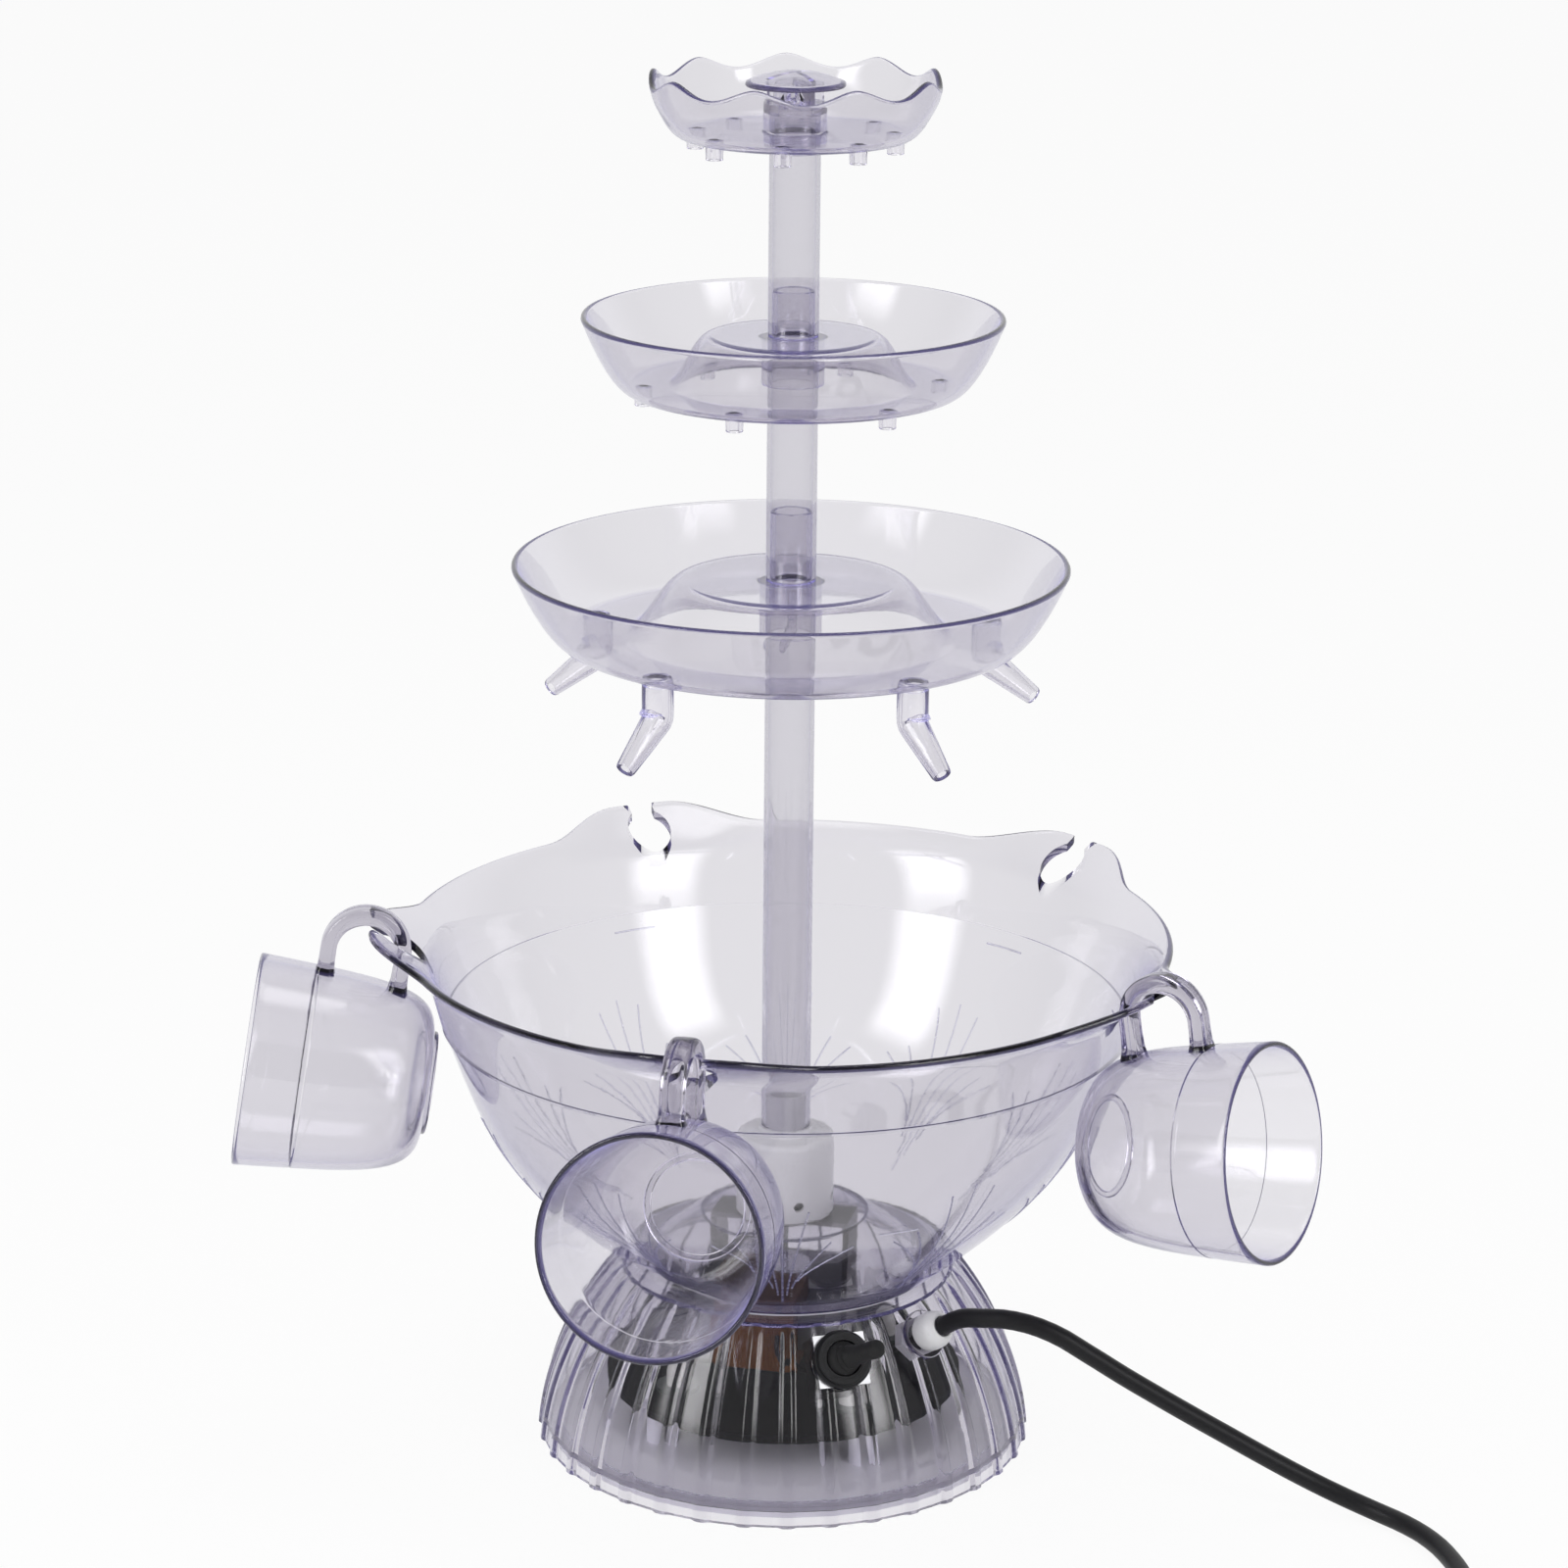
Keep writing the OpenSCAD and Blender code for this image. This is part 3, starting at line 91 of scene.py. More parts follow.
LEVER_Z, LEVER_TILT, BOOT_R = 5.7, 26.0, 6.3
GLAND_R, GLAND_LEN = 7.0, 10.0
CORD_D, CORD_START_RUN, CORD_EXIT_RUN, CORD_END_RUN = 7.0, 3.0, 10.0, 7.0
COIL_X, COIL_Y, COIL_Z, COIL_R = 234.0, -161.0, 4.9, 48.0
COIL_TURNS, COIL_PITCH, COIL_START, COIL_RINGS = 5.25, 7.6, 13.0, 24
PLUG_ENTRY = (200.0, -217.0, 7.0)
RELIEF_LEN, PLUG_LEN, PLUG_W, PLUG_T = 22.0, 36.0, 35.0, 14.0


# Curves in the plane of radius and height
def span(p, q, shares):
    """A cubic between two points, its handles given as shares of the span."""
    handles = [(p[0] + s * (q[0] - p[0]), p[1] + t * (q[1] - p[1])) for s, t in shares]
    return [p, *handles, q]


def on_curve(curve, t):
    """The point of a cubic at t and its heading there."""
    weights = ((1 - t) ** 3, 3 * (1 - t) ** 2 * t, 3 * (1 - t) * t * t, t ** 3)
    slopes = ((1 - t) ** 2, 2 * (1 - t) * t, t * t)
    here = [sum(w * p[k] for w, p in zip(weights, curve)) for k in range(len(curve[0]))]
    ahead = [sum(w * (b[k] - a[k]) for w, a, b in zip(slopes, curve, curve[1:]))
             for k in range(len(curve[0]))]
    length = math.sqrt(sum(a * a for a in ahead))
    return here, [a / length for a in ahead]


def traced(curve, shift=0.0, steps=28):
    """Points along a cubic, moved sideways to the left of its heading."""
    points = []
    for i in range(steps + 1):
        (x, z), (dx, dz) = on_curve(curve, i / steps)
        points.append((x - shift * dz, z + shift * dx))
    return points


def rounded_edge(outer, inner, wall, steps=8):
    """Joins the two faces of a wall over a half-round edge that stays inside the wall's end."""
    ox, oz = outer[-1]
    px, pz = outer[-2]
    length = math.hypot(ox - px, oz - pz)
    hx, hz = (ox - px) / length, (oz - pz) / length
    half = wall / 2
    mx = (ox + inner[-1][0]) / 2 - half * hx
    mz = (oz + inner[-1][1]) / 2 - half * hz
    def below(points):
        return [p for p in points if (p[0] - mx) * hx + (p[1] - mz) * hz < -0.05]
    arc = []
    for i in range(steps + 1):
        a = math.pi * (i / steps - 0.5)
        arc.append((mx + half * (math.cos(a) * hx - math.sin(a) * hz),
                    mz + half * (math.cos(a) * hz + math.sin(a) * hx)))
    return below(outer) + arc + below(inner)[::-1]


# Modelling
def fresh():
    """Leaves edit mode and selects nothing."""
    if bpy.context.object and bpy.context.object.mode != "OBJECT":
        bpy.ops.object.mode_set(mode="OBJECT")
    bpy.ops.object.select_all(action="DESELECT")


def only(piece):
    fresh()
    piece.select_set(True)
    bpy.context.view_layer.objects.active = piece


def named(piece, name):
    piece.name = name
    piece.data.name = name
    return piece


def smooth(piece, degrees=35.0):
    only(piece)
    bpy.ops.object.shade_smooth_by_angle(angle=math.radians(degrees))


def mend(piece):
    """Merges doubles and turns all faces outwards."""
    only(piece)
    bpy.ops.object.mode_set(mode="EDIT")
    bpy.ops.mesh.select_all(action="SELECT")
    bpy.ops.mesh.remove_doubles(threshold=MERGE * MM)
    bpy.ops.mesh.normals_make_consistent(inside=False)
    bpy.ops.object.mode_set(mode="OBJECT")


def drawn(name, outline, closed=True):
    """One point drawn out along an outline of (radius, height), as an edge loop in the XZ plane."""
    fresh()
    bpy.ops.mesh.primitive_plane_add(size=MM)
    piece = named(bpy.context.object, name)
    bpy.ops.object.mode_set(mode="EDIT")
    bpy.ops.mesh.select_all(action="SELECT")
    bpy.ops.mesh.merge(type="CENTER")
    bpy.ops.transform.translate(value=(outline[0][0] * MM, 0, outline[0][1] * MM))
    path = list(outline) + ([outline[0]] if closed else [])
    for here, there in zip(path, path[1:]):
        step = ((there[0] - here[0]) * MM, 0, (there[1] - here[1]) * MM)
        bpy.ops.mesh.extrude_region_move(TRANSFORM_OT_translate={"value": step})
    return piece


def supported(outline, closed):
    """Adds points near both ends of each long straight run, so that its shading stays flat."""
    path = list(outline) + ([outline[0]] if closed else [])
    points = []
    for (ax, az), (bx, bz) in zip(path, path[1:]):
        points.append((ax, az))
        length = math.hypot(bx - ax, bz - az)
        if length > LONG_RUN:
            for share in (RUN_END / length, 1 - RUN_END / length):
                points.append((ax + share * (bx - ax), az + share * (bz - az)))
    return points if closed else points + [path[-1]]


def turned(name, outline, steps=128, closed=True):
    """A closed outline spun round the column."""
    piece = drawn(name, supported(outline, closed), closed)
    bpy.ops.mesh.select_all(action="SELECT")
    bpy.ops.mesh.spin(steps=steps, angle=TURN, center=(0, 0, 0), axis=(0, 0, 1))
    mend(piece)
    smooth(piece)
    return piece


def moved(piece, rule):
    """Moves the points of a piece by a rule on arrays of x, y and z in millimetres."""
    points = np.empty(3 * len(piece.data.vertices))
    piece.data.vertices.foreach_get("co", points)
    x, y, z = (points.reshape(-1, 3) / MM).T
    points = np.stack(rule(x, y, z), axis=1) * MM
    piece.data.vertices.foreach_set("co", points.ravel())
    piece.data.update()
    return piece


def placed(piece, matrix):
    """Puts a piece in its place, with the place in its mesh."""
    piece.data.transform(matrix)
    piece.data.update()
    return piece


def copied(piece, name):
    twin = bpy.data.objects.new(name, piece.data.copy())
    twin.data.name = name
    bpy.context.collection.objects.link(twin)
    return twin


def joined(pieces, name):
    only(pieces[0])
    for piece in pieces:
        piece.select_set(True)
    bpy.ops.object.join()
    return named(pieces[0], name)


def cut(piece, tools, operation="DIFFERENCE"):
    """Cuts the tools out of a piece, or welds them on, and deletes them."""
    for tool in tools:
        only(piece)
        change = piece.modifiers.new("cut", "BOOLEAN")
        change.operation = operation
        change.solver = "EXACT"
        change.object = tool
        bpy.ops.object.modifier_apply(modifier=change.name)
        bpy.data.objects.remove(tool)
    return piece


def added(name, data):
    """An object in the scene."""
    piece = bpy.data.objects.new(name, data)
    bpy.context.scene.collection.objects.link(piece)
    return piece


def run_through(curve, points):
    """A straight-sided run of a curve through (point, radius) pairs."""
    run = curve.splines.new("POLY")
    run.points.add(len(points) - 1)
    for knot, (point, radius) in zip(run.points, points):
        knot.co = (*(c * MM for c in point), 1)
        knot.radius = radius
    return run


def meshed(name, curve):
    """The mesh of a curve, as a piece."""
    only(added(name, curve))
    bpy.ops.object.convert(target="MESH")
    return named(bpy.context.object, name)


def rod(radius, low, high, sides=32):
    """A plain cutter along Z."""
    fresh()
    bpy.ops.mesh.primitive_cylinder_add(
        vertices=sides, radius=radius * MM, depth=(high - low) * MM, location=(0, 0, (low + high) / 2 * MM))
    piece = bpy.context.object
    bpy.ops.object.transform_apply()
    return piece


def round_turn(turn, r=0.0, z=0.0):
    """A place round the column: the turn goes from the front towards the right."""
    return Matrix.Rotation(math.radians(turn), 4, "Z") @ Matrix.Translation((0, -r * MM, z * MM))


base_curve = span((BASE_R, 0.0), (BASE_TOP_R, BASE_H), BASE_SHARES)


def on_shell(turn, share, out=0.0):
    """A place on the base shell, its Z along the shell's outward normal."""
    (r, z), (dr, dz) = on_curve(base_curve, share)
    slope = math.asin(-dr)
    return (round_turn(turn, r, z) @ Matrix.Rotation(math.pi / 2 - slope, 4, "X")
            @ Matrix.Translation((0, 0, out * MM)))


# Camera at the photograph's place
CAMERA_D, CAMERA_H, CAMERA_PITCH = 1.5366, 0.7166, 0.29411
CAMERA_ROLL, CAMERA_TURN = 0.009756, math.radians(13.0)
FOCAL_PX, FRAME_PX, SENSOR, CENTRE_PX = 4527.7, 1600, 36.0, 5.06
eye = bpy.data.cameras.new("photo_camera")
eye.sensor_width = SENSOR
eye.lens = FOCAL_PX / FRAME_PX * SENSOR
eye.shift_x = -CENTRE_PX / FRAME_PX
eye.clip_end = 50.0
camera = added("photo_camera", eye)
camera.location = (CAMERA_D * math.sin(CAMERA_TURN), -CAMERA_D * math.cos(CAMERA_TURN), CAMERA_H)
aim = Matrix.Rotation(CAMERA_TURN, 4, "Z") @ Matrix.Rotation(math.pi / 2 - CAMERA_PITCH, 4, "X")
camera.rotation_euler = (aim @ Matrix.Rotation(CAMERA_ROLL, 4, "Z")).to_euler()
bpy.context.scene.camera = camera


# The mains cord: out of its gland, down to the table, into a coil and on to the plug
def radial(point, turn):
    """A point of (radius, height) at a turn round the column."""
    a = math.radians(turn)
    return Vector((point[0] * math.sin(a), -point[0] * math.cos(a), point[1]))


def coil_at(turn):
    """A point of the flat coil: in along one layer and out along the next."""
    r = COIL_R - COIL_PITCH * min(turn, COIL_TURNS - turn)
    rise = COIL_PITCH * min(1.0, max(0.0, 2 * (turn - COIL_TURNS / 2) + 0.5))
    a = math.radians(COIL_START - 360 * turn)
    return Vector((COIL_X + r * math.cos(a), COIL_Y + r * math.sin(a), COIL_Z + rise))


gland_point, gland_ahead = on_curve(base_curve, GLAND_SHARE)
gland_out = radial((gland_ahead[1], -gland_ahead[0]), GLAND_TURN)
gland_face = radial(gland_point, GLAND_TURN) + (PAD_H + GLAND_LEN) * gland_out
cord_route = [Vector(p) for p in (
    (84.8, -49.9, 72), (96.9, -52.6, 73.5), (110.4, -52.3, 70.2), (123.1, -50, 62.6), (135.5, -46.6, 54),
    (148, -42.8, 45.6), (160.5, -39, 37.4), (173, -35.2, 29.4), (185.5, -32, 21.7), (198.5, -29.5, 14.4),
    (212.5, -28.8, 8.2), (226.5, -31.5, 4.4), (238.5, -38.3, 3.5), (248.5, -48.5, 3.5), (256.5, -61.5, 3.5),
    (262.6, -76, 3.5), (267, -91.5, 3.5), (270.8, -107, 3.8), (273.6, -119, 4.2))]
coil_steps = round(COIL_TURNS * COIL_RINGS)
coil_loops = [coil_at(COIL_TURNS * i / coil_steps) for i in range(coil_steps + 1)]
start_angle = math.radians(COIL_START)
end_angle = math.radians(COIL_START - 360 * COIL_TURNS)
coil_in = Vector((math.sin(start_angle), -math.cos(start_angle), 0))
coil_out = Vector((math.sin(end_angle), -math.cos(end_angle), 0))
coil_entry = coil_loops[0] - CORD_END_RUN * coil_in
coil_exit = coil_loops[-1] + CORD_END_RUN * coil_out
plug_entry = Vector(PLUG_ENTRY)
plug_way = Vector((1, 0, 0))
lead_from = coil_exit + CORD_START_RUN * coil_out
lead_to = plug_entry + CORD_START_RUN * plug_way
lead_reach = 2 * CORD_END_RUN
lead_curve = [lead_from, lead_from + lead_reach * coil_out, lead_to + lead_reach * plug_way, lead_to]
cord_points = [gland_face, gland_face + CORD_EXIT_RUN * gland_out, *cord_route,
               coil_entry - lead_reach * coil_in, coil_entry, *coil_loops, coil_exit,
               *[Vector(on_curve(lead_curve, i / 4)[0]) for i in range(1, 4)], plug_entry]
line = bpy.data.curves.new("mains_lead", "CURVE")
line.dimensions = "3D"
line.resolution_u = 3
line.bevel_depth = CORD_D / 2 * MM
line.bevel_resolution = 5
line.use_fill_caps = True
thread = line.splines.new("BEZIER")
thread.bezier_points.add(len(cord_points) - 1)
for knot, point in zip(thread.bezier_points, cord_points):
    knot.co = point * MM
    knot.handle_left_type = knot.handle_right_type = "AUTO"
cord = added("mains_lead", line)


# Base shell: fluted outside and plain inside, with a seat for the bowl and a ledge for its cover
shell_inner = traced(
    span((BASE_R - BASE_WALL, 0.0), (BASE_TOP_R - BASE_WALL / 2, BASE_H - BASE_WALL), BASE_SHARES))


def across(points, z):
    """The radius of a rising outline at a height."""
    return float(np.interp(z, [p[1] for p in points], [p[0] for p in points]))


LEDGE_TOP = LEDGE_Z + LEDGE_T
shell_outer = traced(base_curve, steps=36)
shell_outline = (
    shell_outer + [(SEAT_R, BASE_H), (SEAT_R, BASE_H - BASE_WALL)]
    + [p for p in shell_inner if p[1] > LEDGE_TOP + 0.1][::-1]
    + [(across(shell_inner, LEDGE_TOP), LEDGE_TOP), (LEDGE_R, LEDGE_TOP), (LEDGE_R, LEDGE_Z),
       (across(shell_inner, LEDGE_Z), LEDGE_Z)]
    + [p for p in shell_inner if p[1] < LEDGE_Z - 0.1][::-1])
STEPS_PER_FLUTE, RIB_TOP, RIB_SIDE, RIB_FADE = 20, 0.45, 1.0, 3.0
SKIN = 0.05


def fluted(x, y, z):
    """Raises narrow ribs with sloped sides on the outer face."""
    r = np.hypot(x, y)
    skin = np.abs(r - np.interp(z, [p[1] for p in shell_outer], [p[0] for p in shell_outer])) < SKIN
    share = (np.arctan2(y, x) / TURN - FLUTE_TURN / 360) * FLUTES
    off_rib = np.abs(share - np.round(share)) / (FLUTE_SHARE / 2)
    rib = 0.5 + 0.5 * np.cos(math.pi * np.clip((off_rib - RIB_TOP) / RIB_SIDE, 0, 1))
    fade = np.clip((BASE_H - z) / RIB_FADE, 0, 1)
    grow = 1 + np.where(skin, FLUTE_DEPTH * rib * fade, 0) / np.maximum(r, 1)
    return x * grow, y * grow, z


fluted_base = moved(turned("fluted_base", shell_outline, FLUTES * STEPS_PER_FLUTE), fluted)
smooth(fluted_base, 24)


def pad(name, turn, share, radius):
    """A round clear pad on the shell under a fitting."""
    outline = [(0, -BASE_WALL / 2), (radius - 0.4, -BASE_WALL / 2), (radius, 0), (radius, PAD_H - 0.4),
               (radius - 0.4, PAD_H), (0, PAD_H)]
    return placed(turned(name, outline, 48, closed=False), on_shell(turn, share))


switch_pad = pad("switch_pad", SWITCH_TURN, SWITCH_SHARE, SWITCH_PAD_R)
gland_pad = pad("gland_pad", GLAND_TURN, GLAND_SHARE, GLAND_PAD_R)

# Bowl: flared, with a ring line, a hump for the pump and five keyhole hooks round the lip
bowl_curve = span((BOWL_FOOT_R, BOWL_Z), (LINE_R, LINE_Z), BOWL_SHARES)
band_curve = span((LINE_R + LINE_STEP, LINE_Z), (RIM_R, RIM_Z), BAND_SHARES)
bowl_outer = traced(bowl_curve, steps=44) + traced(band_curve, steps=24)
bowl_inner = traced(bowl_curve, BOWL_WALL, 44) + traced(band_curve, BOWL_WALL, 24)
hump_wall = BOWL_WALL / 2
bowl_outline = (
    [(SEAL_R, HUMP_Z), (HUMP_TOP_R, HUMP_Z), (HUMP_FOOT_R, BOWL_Z)]
    + rounded_edge(bowl_outer, bowl_inner, BOWL_WALL)
    + [(HUMP_FOOT_R + hump_wall, BOWL_Z + BOWL_WALL), (HUMP_TOP_R + hump_wall, PUMP_Z), (SEAL_R, PUMP_Z)])
LUG_NEAR, LUG_FAR, LUG_START, LUG_END = 10.0, 45.0, -11.0, -1.4
LIP_OUT, LIP_UP = 0.9, 0.435


def eased(low, high, value):
    t = np.clip((value - low) / (high - low), 0, 1)
    return t * t * (3 - 2 * t)


def lugged(x, y, z):
    """Draws the lip out into a rounded lug at each hook."""
    r = np.hypot(x, y)
    share = np.arctan2(x, -y) / TURN * HOOKS
    sideways = np.abs(r * np.sin((share - np.round(share)) * TURN / HOOKS))
    along = (r - RIM_R) * LIP_OUT + (z - RIM_Z) * LIP_UP
    reach = HOOK_REACH * (1 - eased(LUG_NEAR, LUG_FAR, sideways)) * eased(LUG_START, LUG_END, along)
    reach = np.where(z > LINE_Z, reach, 0)
    grow = 1 + reach / np.maximum(r, 1)
    return x * grow, y * grow, z + reach * LIP_RISE


def slab(outline, low, high):
    """A flat outline of (x, y) drawn up from low to high."""
    piece = drawn("slab", outline)
    bpy.ops.mesh.select_all(action="SELECT")
    bpy.ops.mesh.remove_doubles(threshold=MERGE * MM)
    bpy.ops.mesh.edge_face_add()
    bpy.ops.mesh.extrude_region_move(TRANSFORM_OT_translate={"value": (0, (high - low) * MM, 0)})
    bpy.ops.object.mode_set(mode="OBJECT")
    placed(piece, Matrix.Translation((0, 0, high * MM)) @ Matrix.Rotation(-math.pi / 2, 4, "X"))
    mend(piece)
    return piece


def keyhole():
    """The notch of a hook: round at the back, with a slot out between rounded jaws."""
    side = math.asin(HOOK_GAP / 2 / NOTCH_R)
    arc = [(NOTCH_R * math.sin(a), NOTCH_R * math.cos(a) - NOTCH_RING_R)
           for a in np.linspace(side - math.pi, math.pi - side, 41)]
    tip = RIM_R + HOOK_REACH
    jaw = [(HOOK_GAP / 2 + JAW_R * (1 - math.cos(a)), -tip + JAW_R * (1 - math.sin(a)))
           for a in np.linspace(0, math.pi / 2, 9)]
    jaw.append((jaw[-1][0], -tip - HOOK_REACH))
    far_jaw = [(-x, y) for x, y in reversed(jaw)]
    return slab(far_jaw + arc + jaw, LINE_Z + NOTCH_LOW, RIM_Z + NOTCH_HIGH)


def round_ring(tool, count, turn=0.0):
    """Copies of a tool round the column, as one object."""
    ring = [placed(copied(tool, "tool"), round_turn(turn + 360 / count * i)) for i in range(count)]
    bpy.data.objects.remove(tool)
    return joined(ring, "tools")


serving_bowl = moved(turned("serving_bowl", bowl_outline, 360), lugged)
cut(serving_bowl, [round_ring(keyhole(), HOOKS)])
smooth(serving_bowl, 30)


def strokes(name, paths, width):
    """Fine raised strokes, each a thin round line along its points."""
    pen = bpy.data.curves.new(name, "CURVE")
    pen.dimensions = "3D"
    pen.bevel_depth = width / 2 * MM
    pen.bevel_resolution = 1
    pen.use_fill_caps = True
    for path in paths:
        run_through(pen, [(point, 1.0) for point in path])
    piece = meshed(name, pen)
    smooth(piece, 60)
    return piece


def on_bowl(turn, z):
    """A point on the outer face of the bowl."""
    r = across(bowl_outer, z)
    a = math.radians(turn)
    return (r * math.sin(a), -r * math.cos(a), z)


# Scored fans of lines, and plain level lines
FANS, FAN_LINES, FAN_SHIFT, STROKE_W = 10, 3, 0.35, 0.7
FAN_FOOT_Z, FAN_FOOT_STEP, FAN_TOP_Z, FAN_TOP_STEP, FAN_ODD_RISE = 79.0, 5, 134, 9, 6
FAN_NEAR, FAN_SPREAD, FAN_BEND = 1.2, 3.4, 1.3
LEVELS, LEVEL_HALF = ((150, 158), (222, 158), (35, 118), (108, 158)), 4
fan_paths = []
for fan in range(FANS):
    middle = 360 / FANS * (fan + FAN_SHIFT)
    for k in range(-FAN_LINES, FAN_LINES + 1):
        low = FAN_FOOT_Z + FAN_FOOT_STEP * abs(k)
        high = FAN_TOP_Z - FAN_TOP_STEP * abs(k) + (FAN_ODD_RISE if k % 2 else 0)
        path = []
        for t in np.linspace(0, 1, 15):
            turn = middle + k * (FAN_NEAR + FAN_SPREAD * t ** FAN_BEND)
            path.append(on_bowl(turn, low + (high - low) * t))
        fan_paths.append(path)
fan_lines = strokes("bowl_fan_lines", fan_paths, STROKE_W)
level_paths = []
for turn, z in LEVELS:
    level_paths.append([on_bowl(turn + a, z) for a in np.linspace(-LEVEL_HALF, LEVEL_HALF, 9)])
level_marks = strokes("bowl_level_marks", level_paths, STROKE_W)

# Pump housing with its intakes and the spigot that carries the column
COLLAR_R = 9.9
INTAKES, INTAKE_TURN, INTAKE_R, INTAKE_Z, INTAKE_OVER = 6, 30, 2.0, 7, 2
pump_inside = PUMP_R - PUMP_WALL
pump_outline = [
    (pump_inside, 0), (PUMP_R - 0.3, 0), (PUMP_R, 0.3), (PUMP_R, PUMP_H - 2), (PUMP_R - 0.3, PUMP_H - 0.9),
    (PUMP_R - 0.9, PUMP_H - 0.3), (PUMP_R - 2, PUMP_H), (COLLAR_R, PUMP_H),
    (COLLAR_R, PUMP_H + COLLAR_H), (SPIGOT_R, PUMP_H + COLLAR_H),
    (SPIGOT_R, PUMP_H + COLLAR_H + PUMP_SPIGOT_H),
    (SPIGOT_BORE, PUMP_H + COLLAR_H + PUMP_SPIGOT_H), (SPIGOT_BORE, PUMP_H - PUMP_WALL),
    (pump_inside, PUMP_H - PUMP_WALL)]
pump_housing = placed(turned("pump_housing", pump_outline, 96), Matrix.Translation((0, 0, PUMP_Z * MM)))
intake = placed(rod(INTAKE_R, 0, PUMP_R + INTAKE_OVER), Matrix.Translation((0, 0, (PUMP_Z + INTAKE_Z) * MM))
                @ Matrix.Rotation(math.pi / 2, 4, "X"))
cut(pump_housing, [round_ring(intake, INTAKES, INTAKE_TURN)])
smooth(pump_housing, 40)


# Column tubes
def tube(name, low, high):
    inner, edge = TUBE_R - TUBE_WALL, 0.3
    outline = [(inner, low + edge), (inner + edge, low), (TUBE_R - edge, low), (TUBE_R, low + edge),
               (TUBE_R, high - edge), (TUBE_R - edge, high), (inner + edge, high), (inner, high - edge)]
    return turned(name, outline, 96)


lower_column = tube("lower_column", LOW_TUBE_Z, LOW_TRAY_Z)
middle_column = tube("middle_column", MID_TUBE_Z, MID_TRAY_Z)
upper_column = tube("upper_column", TOP_TUBE_Z, TOP_HUB_Z)


# Trays: a raised centre with a socket below and a spigot above, inside a ring trough
def tray(name, z, rim_r, rim_rise, depth, plateau_r, foot_r, wall_r, spigot_h):
    dome = span((plateau_r, z), (foot_r, z - depth), DOME_SHARES)
    side = span((wall_r, z - depth), (rim_r, z + TRAY_WALL + rim_rise), WALL_SHARES)
    outer = traced(dome, steps=22) + traced(side, steps=30)
    inner = traced(dome, TRAY_WALL, 22) + traced(side, TRAY_WALL, 30)
    socket_z, top_z, spigot_z = z - depth + TRAY_WALL, z + TRAY_WALL, z + TRAY_WALL + spigot_h
    outline = (
        [(SPIGOT_BORE, z), (SOCKET_R, z), (SOCKET_R, socket_z), (HUB_R, socket_z), (HUB_R, z - 0.8),
         (HUB_R + 0.25, z - 0.25), (HUB_R + 0.8, z)]
        + rounded_edge(outer, inner, TRAY_WALL)
        + [(SPIGOT_R + 0.8, top_z), (SPIGOT_R + 0.25, top_z + 0.25), (SPIGOT_R, top_z + 0.8),
           (SPIGOT_R, spigot_z - 0.3), (SPIGOT_R - 0.3, spigot_z), (SPIGOT_BORE + 0.3, spigot_z),
           (SPIGOT_BORE, spigot_z - 0.3)])
    return turned(name, outline, 160)


def drilled(piece, count, ring_r, turn, floor_z, radius):
    """Cuts a ring of holes through a tray's floor."""
    tool = placed(rod(radius, -DRILL_REACH, DRILL_REACH, 24),
                  Matrix.Translation((0, -ring_r * MM, floor_z * MM)))
    return cut(piece, [round_ring(tool, count, turn)])


def nozzled(piece, count, ring_r, turn, floor_z):
    """Welds a ring of drip nozzles under a tray's floor and bores them."""
    outline = [(0, -NOZZLE_DROP), (NOZZLE_R - 0.35, -NOZZLE_DROP), (NOZZLE_R - 0.2, -NOZZLE_DROP + 0.2),
               (NOZZLE_R, TRAY_WALL / 2), (0, TRAY_WALL / 2)]
    tool = placed(turned("nozzle", outline, 24, closed=False),
                  Matrix.Translation((0, -ring_r * MM, floor_z * MM)))
    cut(piece, [round_ring(tool, count, turn)], "UNION")
    return drilled(piece, count, ring_r, turn, floor_z, NOZZLE_BORE)


LOW_FLOOR_Z, MID_FLOOR_Z, SPOUT_HOLE_R = LOW_TRAY_Z - LOW_DEPTH, MID_TRAY_Z - MID_DEPTH, 5.05
lower_dish = tray("lower_dish", LOW_TRAY_Z, rim_r=100, rim_rise=5.5, depth=LOW_DEPTH, plateau_r=38,
                  foot_r=60, wall_r=79, spigot_h=25)
drilled(lower_dish, SPOUTS, SPOUT_RING_R, SPOUT_TURN, LOW_FLOOR_Z, SPOUT_HOLE_R)
smooth(lower_dish, 30)
middle_dish = tray("middle_dish", MID_TRAY_Z, rim_r=75, rim_rise=6.5, depth=MID_DEPTH, plateau_r=29,
                   foot_r=44, wall_r=57, spigot_h=16)
nozzled(middle_dish, count=6, ring_r=53, turn=-9, floor_z=MID_FLOOR_Z)
smooth(middle_dish, 30)

top_side = span((TOP_FLOOR_R, TOP_FLOOR_Z), (TOP_R, TOP_RIM_Z), TOP_SHARES)
hub_low, hub_high = TOP_FLOOR_Z - NOZZLE_DROP, TOP_HUB_Z + TOP_HUB_H
top_outline = (
    [(SOCKET_R, hub_low), (HUB_R, hub_low), (HUB_R, TOP_FLOOR_Z - 0.6), (HUB_R + 0.6, TOP_FLOOR_Z)]
    + rounded_edge(traced(top_side, steps=34), traced(top_side, TRAY_WALL, 34), TRAY_WALL)
    + [(HUB_R + 0.6, TOP_FLOOR_Z + TRAY_WALL), (HUB_R, TOP_FLOOR_Z + TRAY_WALL + 0.6), (HUB_R, hub_high),
       (SPIGOT_BORE, hub_high), (SPIGOT_BORE, TOP_HUB_Z), (SOCKET_R, TOP_HUB_Z)])


